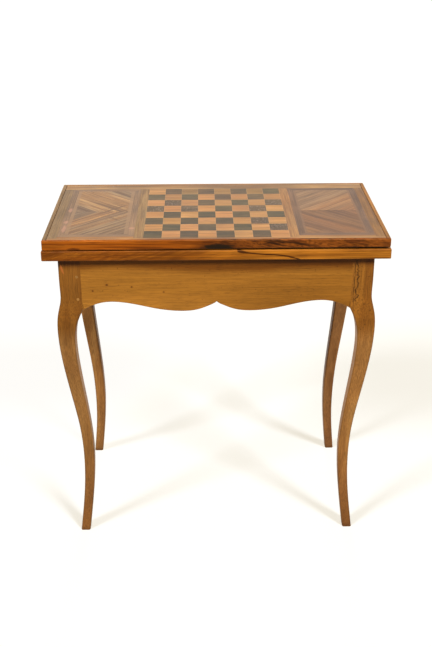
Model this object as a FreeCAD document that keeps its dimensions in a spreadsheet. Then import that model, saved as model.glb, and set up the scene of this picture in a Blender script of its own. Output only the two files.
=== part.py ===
import FreeCAD, Part
import math
import os
import re

import Sketcher

# Folding chess table: a frame on four cabriole legs carries a top of two equal leaves.
# The top turns on a pivot in the frame, and its upper leaf unfolds on hinges along the back edge.
# Millimetres, Z up, origin on the floor below the middle of the top, front towards -Y.

document = FreeCAD.newDocument("chess_table")
sheet = document.addObject("Spreadsheet::Sheet", "dims")

driving_sizes = {
    # Whole table
    "table_height": "752.5",
    "end_overhang": "29",
    "front_overhang": "14",
    "slide_gap": "0.4",
    "cut_overrun": "1",
    # Chess board and the veneers round it
    "square_count": "8",
    "square_side": "38.6",
    "veneer_thick": "1.2",
    "front_margin": "8.5",
    "back_margin": "30.7",
    "strip_width": "20.6",
    "panel_length": "161",
    "panel_margin": "8",
    "band_width": "14",
    "end_border": "20",
    "joint_gap": "1.5",
    # Leaves and their lippings
    "leaf_thick": "22.4",
    "leaf_gap": "1.7",
    "front_lip": "6",
    "back_lip": "6",
    "upper_end_lip": "8.5",
    "lower_end_lip": "11",
    "lip_round": "2.5",
    "lip_taper": "3.2",
    "inner_border": "34",
    "baize_proud": "0.7",
    "baize_clear": "0.3",
    # Legs and aprons
    "leg_block": "47",
    "leg_round": "4",
    "foot_kick_x": "1",
    "foot_kick_y": "20",
    "apron_thick": "22",
    "apron_depth": "125",
    "apron_rise": "23",
    "bracket_rise": "3.5",
    "edge_round": "1.2",
    "tenon_thick": "8",
    "tenon_length": "28",
    "tenon_drop": "14",
    "tenon_lift": "21",
    "mortise_clear": "0.1",
    "mortise_end_clear": "1",
    "peg_dia": "6",
    "peg_length": "26",
    "peg_inset": "8.5",
    "peg_drop": "28",
    "peg_lift": "9",
    "peg_clear": "0.05",
    # Pivot of the top
    "rail_thick": "26",
    "rail_tenon_length": "10",
    "rail_tenon_width": "60",
    "rail_tenon_thick": "12",
    "pivot_dia": "14",
    "pivot_clear": "0.06",
    "flange_dia": "56",
    "flange_thick": "4",
    "flange_clear": "0.2",
    "flange_screw_circle": "40",
    "washer_dia": "36",
    "washer_thick": "2.5",
    "washer_clear": "0.1",
    "nut_flats": "22",
    "nut_height": "11",
    "bolt_end": "4",
    "stop_peg_dia": "10",
    "stop_peg_drop": "18",
    "stop_peg_seat": "12",
    "stop_peg_taper": "2",
    "stop_reach": "70",
    "stop_clear": "0.3",
    # Storage well
    "well_depth": "82",
    "floor_thick": "8",
    "floor_clear": "0.5",
    "cleat_side": "10",
    # Hinges
    "hinge_inset": "127.5",
    "hinge_length": "60",
    "hinge_offset": "0.4",
    "knuckle_count": "5",
    "knuckle_dia": "5.2",
    "knuckle_gap": "0.3",
    "plate_height": "16",
    "plate_thick": "1.8",
    "plate_clear": "0.1",
    "pin_dia": "2.6",
    "pin_clear": "0.05",
    # Countersunk wood screws
    "screw_head_dia": "6",
    "screw_head_height": "1.5",
    "screw_dia": "3",
    "screw_length": "14",
    "screw_spacing": "20",
    "screw_clear": "0.05",
    "slot_width": "0.8",
    "slot_depth": "0.7",
}

derived_sizes = {
    # Top, worked outwards from the board
    "board_side": "square_count * square_side",
    "board_half": "board_side / 2",
    "panel_start": "board_half + strip_width",
    "panel_end": "panel_start + panel_length",
    "field_half_length": "panel_end + end_border",
    "core_half_length": "field_half_length + joint_gap",
    "upper_half_length": "core_half_length + upper_end_lip",
    "lower_half_length": "core_half_length + lower_end_lip",
    "top_depth": "front_lip + front_margin + board_side + back_margin + back_lip",
    "top_front": "-top_depth / 2",
    "top_back": "top_depth / 2",
    "field_front": "top_front + front_lip",
    "field_back": "top_back - back_lip",
    "board_front": "field_front + front_margin",
    "board_back": "board_front + board_side",
    "panel_front": "board_front + panel_margin",
    "panel_middle": "(panel_front + board_back) / 2",
    # Levels of the leaves
    "upper_bottom": "table_height - leaf_thick",
    "veneer_bottom": "table_height - veneer_thick",
    "lower_top": "upper_bottom - leaf_gap",
    "lower_bottom": "lower_top - leaf_thick",
    "hinge_z": "(upper_bottom + lower_top) / 2",
    "hinge_y": "top_back + hinge_offset",
    "baize_thick": "veneer_thick + baize_proud",
    "baize_inset": "inner_border + baize_clear",
    # Frame
    "frame_top": "lower_bottom - slide_gap",
    "frame_half_length": "upper_half_length - end_overhang",
    "frame_half_depth": "top_depth / 2 - front_overhang",
    "apron_low": "frame_top - apron_depth",
    "bracket_height": "apron_low + bracket_rise",
    "apron_half_length": "frame_half_length - leg_block",
    "apron_half_depth": "frame_half_depth - leg_block",
    "apron_inner_x": "frame_half_length - apron_thick",
    "apron_inner_y": "frame_half_depth - apron_thick",
    "tenon_inset": "(apron_thick - tenon_thick) / 2",
    "tenon_top": "frame_top - tenon_drop",
    "tenon_bottom": "apron_low + tenon_lift",
    "mortise_length": "tenon_length + mortise_end_clear",
    "upper_peg_z": "tenon_top - peg_drop",
    "lower_peg_z": "tenon_bottom + peg_lift",
    # Pivot: half way to the hinge line on both axes, so that the turned top sits in the middle
    "pivot_place": "hinge_y / 2",
    "rail_bottom": "frame_top - rail_thick",
    "rail_middle": "frame_top - rail_thick / 2",
    "washer_top": "rail_bottom - washer_clear",
    "nut_top": "washer_top - washer_thick",
    "bolt_bottom": "nut_top - nut_height - bolt_end",
    # One stop peg meets the back apron with the top straight and the rail with the top turned
    "stop_offset": "apron_inner_y - pivot_place - stop_peg_dia / 2 - stop_clear",
    "rail_half_width": "stop_offset - stop_peg_dia / 2 - stop_clear",
    "stop_x": "pivot_place - stop_reach",
    "stop_y": "pivot_place + stop_offset",
    # Storage well
    "floor_top": "frame_top - well_depth",
    "floor_bottom": "floor_top - floor_thick",
    # Hinges
    "hinge_centre": "core_half_length - hinge_inset",
    "knuckle_length": "hinge_length / knuckle_count",
    "knuckle_reach": "knuckle_dia / 2 + knuckle_gap",
    "plate_middle": "knuckle_reach + plate_height / 2",
}

all_sizes = {**driving_sizes, **{alias: "=" + formula for alias, formula in derived_sizes.items()}}

for row, (alias, content) in enumerate(all_sizes.items(), start=1):
    sheet.set(f"A{row}", alias)
    sheet.set(f"B{row}", content)
    sheet.setAlias(f"B{row}", alias)
document.recompute()

# Outline of a leg, from outer face to foot and back up to the bracket: poles of two smooth curves
# as (share of the bracket height, share of the leg block outwards from its outer face, share of the kick)
leg_outer_shares = [
    (1.13, 0, 0), (1.085, 0, 0), (1.04, -0.05, 0), (1, 0.12, 0), (0.94, 0.225, 0), (0.8, 0.13, 0.01),
    (0.6, -0.245, 0.15), (0.42, -0.59, 0.34), (0.2, -0.605, 0.65), (0.07, -0.4, 0.87), (0, -0.3, 1),
]
leg_inner_shares = [
    (0, -0.755, 1), (0.08, -0.875, 0.86), (0.2, -1.045, 0.65), (0.38, -1.15, 0.39), (0.6, -0.86, 0.15),
    (0.78, -0.61, 0.02), (0.9, -0.56, 0), (0.96, -0.74, 0), (1, -1, 0),
]
# Lower edge of half an apron after its corner at the leg, with a cusp in the middle: poles as
# (share of the half length, share of the rise)
apron_edge_shares = [
    (0.955, 0.5), (0.87, 0.98), (0.75, 1.06), (0.6, 0.74), (0.44, 0.18),
    (0.27, -0.06), (0.14, 0.06), (0.05, 0.6), (0.015, 0.78), (0, 0.97),
]

spline_degree = 3
along_x = FreeCAD.Rotation(FreeCAD.Vector(0, 1, 0), 90)
along_y = FreeCAD.Rotation(FreeCAD.Vector(1, 0, 0), -90)
along_z = FreeCAD.Rotation()
from_back = FreeCAD.Rotation(FreeCAD.Vector(1, 0, 0), 90)
front_view = FreeCAD.Rotation(FreeCAD.Vector(1, 0, 0), 90)
side_view = FreeCAD.Rotation(FreeCAD.Vector(1, 1, 1), 120)
upwards = FreeCAD.Vector(0, 0, 1)

nodes = []


# Formulas in the words of the sheet


def linked(formula):
    return re.sub(r"[a-z]\w*", lambda word: f"{sheet.Name}.{word[0]}", formula)


def value(formula):
    return float(sheet.evalExpression(linked(formula)))


def bind(item, **formulas):
    for name, formula in formulas.items():
        item.setExpression(name, linked(formula))


def place(item, x="0", y="0", z="0"):
    for axis, formula in zip("xyz", (x, y, z)):
        item.setExpression(f"Placement.Base.{axis}", linked(formula))


def span_on(side, near, far, middle="0"):
    span = (f"{middle} + {side} * ({near})", f"{middle} + {side} * ({far})")
    return span if side > 0 else span[::-1]


def node(item, label):
    item.Label = label
    nodes.append(item)
    return item


# Solids from primitives


def box(name, x, y, z):
    item = document.addObject("Part::Box", name)
    for size, (low, high) in zip(("Length", "Width", "Height"), (x, y, z)):
        bind(item, **{size: f"({high}) - ({low})"})
    place(item, x[0], y[0], z[0])
    return item


def rod(name, start, direction, radius, length):
    item = document.addObject("Part::Cylinder", name)
    item.Placement = FreeCAD.Placement(FreeCAD.Vector(), direction)
    bind(item, Radius=radius, Height=length)
    place(item, *start)
    return item


def cone(name, start, direction, wide, narrow, length):
    item = document.addObject("Part::Cone", name)
    item.Placement = FreeCAD.Placement(FreeCAD.Vector(), direction)
    bind(item, Radius1=wide, Radius2=narrow, Height=length)
    place(item, *start)
    return item


def joined(name, members):
    item = document.addObject("Part::MultiFuse", name)
    item.Shapes = members
    return item


def cut(name, base, tools):
    item = document.addObject("Part::Cut", name)
    item.Base = base
    item.Tool = tools[0] if len(tools) == 1 else joined(f"{name}_cuts", tools)
    return item


def group(name, members):
    item = document.addObject("Part::Compound", name)
    item.Links = members
    return item


def mirrored(name, source, normal):
    item = document.addObject("Part::Mirroring", name)
    item.Source = source
    item.Normal = FreeCAD.Vector(*normal)
    return item


def copy_of(source, name, start, rotation):
    item = document.addObject("App::Link", name)
    item.LinkedObject = source
    item.LinkTransform = False
    item.Placement = FreeCAD.Placement(FreeCAD.Vector(), rotation)
    place(item, *start)
    return item


# Sketches whose points follow the sheet


def point_at(point):
    return FreeCAD.Vector(value(point[0]), value(point[1]), 0)


def fix_point(sketch, geometry, position, point):
    for axis, formula in zip("XY", point):
        constraint = Sketcher.Constraint(f"Distance{axis}", -1, 1, geometry, position, value(formula))
        index = sketch.addConstraint(constraint)
        name = f"point{index}"
        sketch.renameConstraint(index, name)
        sketch.setExpression(f"Constraints.{name}", linked(formula))


def draw_line(sketch, points):
    return sketch.addGeometry(Part.LineSegment(*[point_at(point) for point in points]), False)


def draw_curve(sketch, points):
    poles = [point_at(point) for point in points]
    curve = Part.BSplineCurve()
    curve.buildFromPoles(poles, False, spline_degree)
    geometry = sketch.addGeometry(curve, False)
    for index, point in enumerate(points):
        mark = sketch.addGeometry(Part.Circle(poles[index], upwards, value("leg_round")), True)
        sketch.addConstraint(Sketcher.Constraint("Weight", mark, 1.0))
        alignment = "InternalAlignment:Sketcher::BSplineControlPoint"
        sketch.addConstraint(Sketcher.Constraint(alignment, mark, 3, geometry, index))
        if 0 < index < len(points) - 1:
            fix_point(sketch, mark, 3, point)
    return geometry


def draw_outline(sketch, segments):
    parts = [(draw_line if len(points) == 2 else draw_curve)(sketch, points) for points in segments]
    for index, (part, points) in enumerate(zip(parts, segments)):
        following = parts[(index + 1) % len(parts)]
        sketch.addConstraint(Sketcher.Constraint("Coincident", part, 2, following, 1))
        fix_point(sketch, part, 1, points[0])


def draw_polygon(sketch, points):
    following = points[1:] + points[:1]
    draw_outline(sketch, [list(side) for side in zip(points, following)])


def draw_rectangle(sketch, x, y):
    draw_polygon(sketch, [(x[0], y[0]), (x[1], y[0]), (x[1], y[1]), (x[0], y[1])])


def draw_circle(sketch, centre, radius):
    circle = sketch.addGeometry(Part.Circle(point_at(centre), upwards, value(radius)), False)
    fix_point(sketch, circle, 3, centre)
    index = sketch.addConstraint(Sketcher.Constraint("Radius", circle, value(radius)))
    name = f"radius{index}"
    sketch.renameConstraint(index, name)
    sketch.setExpression(f"Constraints.{name}", linked(radius))


def free_sketch(name, rotation=along_z, z="0"):
    sketch = document.addObject("Sketcher::SketchObject", name)
    sketch.Placement = FreeCAD.Placement(FreeCAD.Vector(), rotation)
    place(sketch, z=z)
    return sketch


def extruded(name, sketch, length, symmetric=False):
    item = document.addObject("Part::Extrusion", name)
    item.Base = sketch
    item.DirMode = "Normal"
    item.Solid = True
    item.Symmetric = symmetric
    bind(item, LengthFwd=length)
    return item


# Features of a body


def new_body(label):
    body = document.addObject("PartDesign::Body", f"{label}_body")
    return node(body, label)


def sketch_on(body, plane, name, offset="0"):
    support = next(feature for feature in body.Origin.OriginFeatures if feature.Role == plane)
    sketch = body.newObject("Sketcher::SketchObject", f"{body.Label}_{name}")
    sketch.AttachmentSupport = [(support, "")]
    sketch.MapMode = "FlatFace"
    sketch.setExpression("AttachmentOffset.Base.z", linked(offset))
    return sketch


def pad(body, sketch, length, backwards=False):
    feature = body.newObject("PartDesign::Pad", f"{sketch.Name}_pad")
    feature.Profile = sketch
    feature.Reversed = backwards
    bind(feature, Length=length)
    document.recompute()
    return feature


def pocket(body, sketch, length=None, backwards=False):
    before = body.Shape.Volume
    feature = body.newObject("PartDesign::Pocket", f"{sketch.Name}_pocket")
    feature.Profile = sketch
    feature.Reversed = backwards
    if length is None:
        feature.Type = "ThroughAll"
    else:
        bind(feature, Length=length)
    document.recompute()
    if not body.Shape.Volume < before:
        raise RuntimeError(f"{feature.Name} removes nothing")
    return feature


def turned(body, points):
    sketch = sketch_on(body, "XZ_Plane", "profile")
    draw_polygon(sketch, points)
    feature = body.newObject("PartDesign::Revolution", f"{body.Label}_turning")
    feature.Profile = sketch
    feature.ReferenceAxis = (sketch, ["V_Axis"])
    document.recompute()
    return feature


def round_edges(body, feature, radius, chosen):
    fillet = body.newObject("PartDesign::Fillet", f"{body.Label}_rounding")
    edges = enumerate(feature.Shape.Edges, start=1)
    fillet.Base = (feature, [f"Edge{index}" for index, edge in edges if chosen(edge.BoundBox)])
    bind(fillet, Radius=radius)
    document.recompute()
    return fillet


# Legs: sawn from two faces, mortised for the aprons, long edges rounded. Both outlines have the same
# curves, and the feet kick out further to the front and back than to the ends.
# A leg is made with the outer corner of its block on the Z axis, and turned to its corner of the frame.


def leg_outline(kick):
    def curve_point(shares):
        height_share, block_share, kick_share = shares
        inwards = f"({-block_share}) * leg_block - {kick_share} * {kick}"
        return (inwards, f"{height_share} * bracket_height")

    top_outer = ("0", "frame_top")
    top_inner = ("leg_block", "frame_top")
    outer = [curve_point(shares) for shares in leg_outer_shares]
    inner = [curve_point(shares) for shares in leg_inner_shares]
    return [
        [top_inner, top_outer], [top_outer, outer[0]], outer,
        [outer[-1], inner[0]], inner, [inner[-1], top_inner],
    ]


def leg_cuts():
    along = ("leg_block - mortise_length", "leg_block + cut_overrun")
    across = ("tenon_inset - mortise_clear", "tenon_inset + tenon_thick + mortise_clear")
    height = ("tenon_bottom - mortise_clear", "tenon_top + mortise_clear")
    cuts = [box("front_mortise", along, across, height), box("side_mortise", across, along, height)]
    radius = "peg_dia / 2 + peg_clear"
    length = "peg_length + cut_overrun"
    for peg_z in ("upper_peg_z", "lower_peg_z"):
        front_start = ("leg_block - peg_inset", "-cut_overrun", peg_z)
        side_start = ("-cut_overrun", "leg_block - peg_inset", peg_z)
        cuts.append(rod("front_peg_hole", front_start, along_y, radius, length))
        cuts.append(rod("side_peg_hole", side_start, along_x, radius, length))
    return cuts


def make_leg(front_kick, side_kick):
    blanks = []
    for name, view, kick in (("front", front_view, front_kick), ("side", side_view, side_kick)):
        outline = free_sketch(f"leg_{name}_outline", view)
        draw_outline(outline, leg_outline(kick))
        blanks.append(extruded(f"leg_{name}_blank", outline, "4 * leg_block", symmetric=True))
    sawn = document.addObject("Part::Common", "leg_sawn")
    sawn.Base = cut("leg_mortised", blanks[0], leg_cuts())
    sawn.Tool = blanks[1]
    document.recompute()

    leg = document.addObject("Part::Fillet", "leg")
    leg.Base = sawn
    radius = value("leg_round")
    edges = enumerate(sawn.Shape.Edges, start=1)
    long_edges = [(index, edge.BoundBox) for index, edge in edges if edge.BoundBox.ZLength > radius]
    leg.Edges = [
        (index, radius, radius) for index, bounds in long_edges
        if bounds.ZMin < radius or (bounds.XMax < radius and bounds.YMax < radius)
    ]
    return leg


def make_legs():
    pair = [make_leg("foot_kick_x", "foot_kick_y"), make_leg("foot_kick_y", "foot_kick_x")]
    left, right = "-frame_half_length", "frame_half_length"
    front, back = "-frame_half_depth", "frame_half_depth"
    corners = {
        "front_left_leg": (left, front), "front_right_leg": (right, front),
        "back_right_leg": (right, back), "back_left_leg": (left, back),
    }
    for quarter, (label, corner) in enumerate(corners.items()):
        leg = pair[quarter % 2]
        turn = FreeCAD.Rotation(upwards, 90 * quarter)
        node(group(f"{label}_group", [copy_of(leg, f"{label}_copy", (*corner, "0"), turn)]), label)


# Aprons: a shaped lower edge with its arris eased, a tenon at each end, peg holes through the tenons


def apron_outline(half_length):
    def edge(side):
        poles = [(f"{side} * {half_length}", "bracket_height")]
        for length_share, rise_share in apron_edge_shares:
            along = f"{side * length_share} * {half_length}"
            poles.append((along, f"apron_low + {rise_share} * apron_rise"))
        return poles

    top_left = (f"-{half_length}", "frame_top")
    top_right = (half_length, "frame_top")
    left, right = edge(-1), edge(1)[::-1]
    return [[top_left, left[0]], left, right, [right[-1], top_right], [top_right, top_left]]


def make_apron(label, plane, side, half_length, half_depth):
    body = new_body(label)
    outwards = side > 0
    outline = sketch_on(body, plane, "outline", f"{side} * {half_depth}")
    draw_outline(outline, apron_outline(half_length))
    pad(body, outline, "apron_thick", backwards=outwards)

    tenon = sketch_on(body, plane, "tenon", f"{side} * ({half_depth} - tenon_inset)")
    reach = f"({half_length} + tenon_length)"
    draw_rectangle(tenon, (f"-{reach}", reach), ("tenon_bottom", "tenon_top"))
    pad(body, tenon, "tenon_thick", backwards=outwards)

    pegs = sketch_on(body, plane, "peg_holes", f"{side} * {half_depth}")
    for end in (-1, 1):
        for height in ("upper_peg_z", "lower_peg_z"):
            draw_circle(pegs, (f"{end} * ({half_length} + peg_inset)", height), "peg_dia / 2 + peg_clear")
    drilled = pocket(body, pegs, backwards=not outwards)

    face = value(f"tenon_inset / 2 - {half_depth}")
    below = value("apron_low + 2 * apron_rise")
    depth = "YMax" if plane == "XZ_Plane" else "XMax"

    def on_lower_arris(bounds):
        return bounds.ZMax < below and getattr(bounds, depth) < face

    round_edges(body, drilled, "edge_round", on_lower_arris)
    return body


def make_aprons():
    front = make_apron("front_apron", "XZ_Plane", 1, "apron_half_length", "frame_half_depth")
    rail_seat = sketch_on(front, "XZ_Plane", "rail_seat", "apron_inner_y")
    half_width = "(rail_tenon_width / 2 + mortise_clear)"
    half_height = "(rail_tenon_thick / 2 + mortise_clear)"
    draw_rectangle(
        rail_seat,
        (f"pivot_place - {half_width}", f"pivot_place + {half_width}"),
        (f"rail_middle - {half_height}", f"rail_middle + {half_height}"),
    )
    pocket(front, rail_seat, "rail_tenon_length + mortise_end_clear", backwards=True)
    node(mirrored("apron_back", front, (0, 1, 0)), "back_apron")
    left = make_apron("left_apron", "YZ_Plane", -1, "apron_half_depth", "frame_half_length")
    node(mirrored("apron_right", left, (1, 0, 0)), "right_apron")


# Pegs through the tenons, their ends flush with the leg blocks


def make_pegs():
    front, left = [], []
    for height in ("upper_peg_z", "lower_peg_z"):
        for end in (-1, 1):
            x = f"{end} * (apron_half_length + peg_inset)"
            y = f"{end} * (apron_half_depth + peg_inset)"
            front_start = (x, "-frame_half_depth", height)
            left_start = ("-frame_half_length", y, height)
            front.append(rod("front_peg", front_start, along_y, "peg_dia / 2", "peg_length"))
            left.append(rod("left_peg", left_start, along_x, "peg_dia / 2", "peg_length"))
    front_pegs = node(group("pegs_front", front), "front_pegs")
    left_pegs = node(group("pegs_left", left), "left_pegs")
    node(mirrored("pegs_back", front_pegs, (0, 1, 0)), "back_pegs")
    node(mirrored("pegs_right", left_pegs, (1, 0, 0)), "right_pegs")


# Cross rail for the pivot, tenoned into the front and back aprons


def make_rail():
    rail = new_body("pivot_rail")
    board = sketch_on(rail, "XY_Plane", "board", "rail_bottom")
    draw_rectangle(
        board,
        ("pivot_place - rail_half_width", "pivot_place + rail_half_width"),
        ("-apron_inner_y", "apron_inner_y"),
    )
    pad(rail, board, "rail_thick")
    tenon = sketch_on(rail, "XY_Plane", "tenon", "rail_middle - rail_tenon_thick / 2")
    draw_rectangle(
        tenon,
        ("pivot_place - rail_tenon_width / 2", "pivot_place + rail_tenon_width / 2"),
        ("-apron_inner_y - rail_tenon_length", "apron_inner_y + rail_tenon_length"),
    )
    pad(rail, tenon, "rail_tenon_thick")
    hole = sketch_on(rail, "XY_Plane", "pivot_hole", "frame_top")
    draw_circle(hole, ("pivot_place", "pivot_place"), "pivot_dia / 2 + pivot_clear")
    pocket(rail, hole)


# Storage well: a floor notched round the leg blocks, on two cleats


def make_well():
    floor = new_body("well_floor")
    long_x, short_x = "(apron_inner_x - floor_clear)", "(apron_half_length - floor_clear)"
    long_y, short_y = "(apron_inner_y - floor_clear)", "(apron_half_depth - floor_clear)"
    quarter = [(long_x, short_y), (short_x, short_y), (short_x, long_y)]
    points = []
    for side_x, side_y in ((1, 1), (-1, 1), (-1, -1), (1, -1)):
        corner = [(f"{side_x} * {x}", f"{side_y} * {y}") for x, y in quarter]
        points += corner if side_x == side_y else corner[::-1]
    outline = sketch_on(floor, "XY_Plane", "outline", "floor_bottom")
    draw_polygon(outline, points)
    pad(floor, outline, "floor_thick")

    cleat = box(
        "cleat", (f"-{short_x}", short_x), ("-apron_inner_y", "-apron_inner_y + cleat_side"),
        ("floor_bottom - cleat_side", "floor_bottom"),
    )
    node(cleat, "front_cleat")
    node(mirrored("cleat_back", cleat, (0, 1, 0)), "back_cleat")


# Countersunk screws and the holes for them


def make_screw():
    screw = document.addObject("PartDesign::Body", "screw")
    turned(screw, [
        ("0", "0"), ("screw_head_dia / 2", "0"), ("screw_dia / 2", "screw_head_height"),
        ("screw_dia / 2", "screw_length - screw_dia"), ("0", "screw_length"),
    ])
    slot = sketch_on(screw, "XY_Plane", "slot")
    draw_rectangle(slot, ("-screw_head_dia", "screw_head_dia"), ("-slot_width / 2", "slot_width / 2"))
    pocket(screw, slot, "slot_depth", backwards=True)
    return screw


def screws_at(name, screw, places, rotation):
    return group(f"{name}_group", [copy_of(screw, name, start, rotation) for start in places])


def pilot_holes(name, places, rotation):
    radius = "screw_dia / 2 + screw_clear"
    return [rod(name, start, rotation, radius, "screw_length + screw_clear") for start in places]


def countersinks(name, places, rotation):
    wide, narrow = "screw_head_dia / 2 + screw_clear", "screw_dia / 2 + screw_clear"
    depth = "screw_head_height + screw_clear"
    return [cone(name, start, rotation, wide, narrow, depth) for start in places]


# Pivot: a flanged bolt screwed under the lower leaf, held below the rail by a washer and a nut


def flange_screw_places():
    places = []
    for quarter in range(4):
        turn = math.radians(45 + 90 * quarter)
        x = f"pivot_place + {math.cos(turn)} * flange_screw_circle / 2"
        y = f"pivot_place + {math.sin(turn)} * flange_screw_circle / 2"
        places.append((x, y, "lower_bottom"))
    return places


def make_pivot(screw):
    shank = "pivot_dia / 2"
    length = "(lower_bottom - bolt_bottom)"
    turning = document.addObject("PartDesign::Body", "bolt_turning")
    turned(turning, [
        ("0", "flange_thick"), ("flange_dia / 2", "flange_thick"), ("flange_dia / 2", "0"),
        (shank, "0"), (shank, f"-{length}"), ("0", f"-{length}"),
    ])
    place(turning, "pivot_place", "pivot_place", "lower_bottom")
    places = flange_screw_places()
    holes = pilot_holes("flange_hole", places, along_z) + countersinks("flange_sink", places, along_z)
    node(cut("bolt_drilled", turning, holes), "pivot_bolt")
    node(screws_at("flange_screw", screw, places, along_z), "pivot_screws")

    washer = new_body("pivot_washer")
    ring = sketch_on(washer, "XY_Plane", "ring", "nut_top")
    centre = ("pivot_place", "pivot_place")
    draw_circle(ring, centre, "washer_dia / 2")
    draw_circle(ring, centre, "pivot_dia / 2 + flange_clear")
    pad(washer, ring, "washer_thick")

    nut = new_body("pivot_nut")
    hexagon = sketch_on(nut, "XY_Plane", "hexagon", "nut_top - nut_height")
    corners = []
    for corner in range(6):
        turn = math.radians(60 * corner)
        across_shares = math.cos(turn) / math.sqrt(3), math.sin(turn) / math.sqrt(3)
        corners.append([f"pivot_place + {share:.9f} * nut_flats" for share in across_shares])
    draw_polygon(hexagon, corners)
    draw_circle(hexagon, centre, "pivot_dia / 2 + pivot_clear")
    pad(nut, hexagon, "nut_height")

    stop = new_body("stop_peg")
    turned(stop, [
        ("0", "stop_peg_seat"), ("stop_peg_dia / 2", "stop_peg_seat"),
        ("stop_peg_dia / 2", "stop_peg_taper - stop_peg_drop"),
        ("stop_peg_dia / 2 - stop_peg_taper", "-stop_peg_drop"), ("0", "-stop_peg_drop"),
    ])
    place(stop, "stop_x", "stop_y", "lower_bottom")


# Hinges: two butt hinges let into the back edges; side -1 is the lower leaf, 1 the upper


def hinge_screw_places(side, hands=(-1, 1)):
    places = []
    for hand in hands:
        for step in (-1, 0, 1):
            x = f"{hand} * hinge_centre + {step} * screw_spacing"
            places.append((x, "top_back", f"hinge_z + {side} * plate_middle"))
    return places


def make_hinge_plate(label, hand, side):
    start = f"({hand} * hinge_centre - hinge_length / 2)"
    thickness = ("top_back - plate_thick", "top_back")
    plate_levels = span_on(side, "knuckle_reach", "knuckle_reach + plate_height", "hinge_z")
    finger_levels = span_on(side, "knuckle_dia / 4", "knuckle_reach + plate_thick", "hinge_z")
    parts = [box("plate", (start, f"{start} + hinge_length"), thickness, plate_levels)]
    for step in range(0 if side < 0 else 1, int(value("knuckle_count")), 2):
        span = (
            f"{start} + {step} * knuckle_length + knuckle_gap / 2",
            f"{start} + {step + 1} * knuckle_length - knuckle_gap / 2",
        )
        parts.append(box("finger", span, thickness, finger_levels))
        length = "knuckle_length - knuckle_gap"
        parts.append(rod("knuckle", (span[0], "hinge_y", "hinge_z"), along_x, "knuckle_dia / 2", length))
    bore_start = (f"{start} - cut_overrun", "hinge_y", "hinge_z")
    bore_length = "hinge_length + 2 * cut_overrun"
    bore = rod("pin_bore", bore_start, along_x, "pin_dia / 2 + pin_clear", bore_length)
    places = hinge_screw_places(side, (hand,))
    holes = pilot_holes("plate_hole", places, from_back) + countersinks("plate_sink", places, from_back)
    node(cut(label, joined(f"{label}_stock", parts), [bore] + holes), label)


def hinge_seats(side):
    seats = []
    mouth = "leaf_gap / 2 - cut_overrun"
    plate_levels = span_on(side, mouth, "knuckle_reach + plate_height + plate_clear", "hinge_z")
    knuckle_levels = span_on(side, mouth, "knuckle_reach", "hinge_z")
    outside = "top_back + cut_overrun"
    half = "(hinge_length / 2 + plate_clear)"
    for hand in (-1, 1):
        span = (f"{hand} * hinge_centre - {half}", f"{hand} * hinge_centre + {half}")
        plate_depth = ("top_back - plate_thick - plate_clear", outside)
        seats.append(box("plate_seat", span, plate_depth, plate_levels))
        seats.append(box("knuckle_seat", span, ("hinge_y - knuckle_reach", outside), knuckle_levels))
    return seats


def make_hinges(screw):
    for hand, hand_name in ((-1, "left"), (1, "right")):
        make_hinge_plate(f"{hand_name}_lower_hinge_plate", hand, -1)
        make_hinge_plate(f"{hand_name}_upper_hinge_plate", hand, 1)
        pin = rod("pin", (f"{hand} * hinge_centre - hinge_length / 2", "hinge_y", "hinge_z"), along_x,
                  "pin_dia / 2", "hinge_length")
        node(pin, f"{hand_name}_hinge_pin")
    for side, leaf in ((-1, "lower"), (1, "upper")):
        screws = screws_at(f"{leaf}_hinge_screw", screw, hinge_screw_places(side), from_back)
        node(screws, f"{leaf}_hinge_screws")


# Leaves: a core between lippings, with a border and a baize field on the inner face


def make_front_lipping(leaf, bottom, top, taper):
    body = new_body(f"front_{leaf}_lipping")
    outline = sketch_on(body, "XZ_Plane", "outline", "-top_front")
    left, right = f"-{leaf}_half_length", f"{leaf}_half_length"
    draw_polygon(outline, [(left, top), (left, bottom), (right, f"{bottom} + {taper}"), (right, top)])
    stock = pad(body, outline, "front_lip", backwards=True)
    joint = value("field_front - lip_round / 2")
    round_edges(body, stock, "lip_round", lambda bounds: bounds.YMin < joint)


def make_end_lippings(leaf, bottom, top):
    body = new_body(f"left_{leaf}_lipping")
    outline = sketch_on(body, "XY_Plane", "outline", bottom)
    draw_rectangle(outline, (f"-{leaf}_half_length", "-core_half_length"), ("field_front", "top_back"))
    stock = pad(body, outline, f"({top}) - ({bottom})")
    outer = value(f"-{leaf}_half_length + {leaf}_end_lip / 2")
    length = value("top_depth / 2")
    round_edges(body, stock, "lip_round", lambda bounds: bounds.XMax < outer and bounds.YLength > length)
    node(mirrored(f"{leaf}_lipping_right", body, (1, 0, 0)), f"right_{leaf}_lipping")


def mitred_frame(name, x, y, width, z, thickness):
    outer = [(x[0], y[0]), (x[1], y[0]), (x[1], y[1]), (x[0], y[1])]
    low_x, high_x = f"{x[0]} + {width}", f"{x[1]} - {width}"
    low_y, high_y = f"{y[0]} + {width}", f"{y[1]} - {width}"
    inner = [(low_x, low_y), (high_x, low_y), (high_x, high_y), (low_x, high_y)]
    strips = []
    for index in range(4):
        following = (index + 1) % 4
        strip = free_sketch(f"{name}_strip", z=z)
        draw_polygon(strip, [outer[index], outer[following], inner[following], inner[index]])
        strips.append(extruded(f"{name}_veneer", strip, thickness))
    return group(f"{name}_group", strips)


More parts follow.
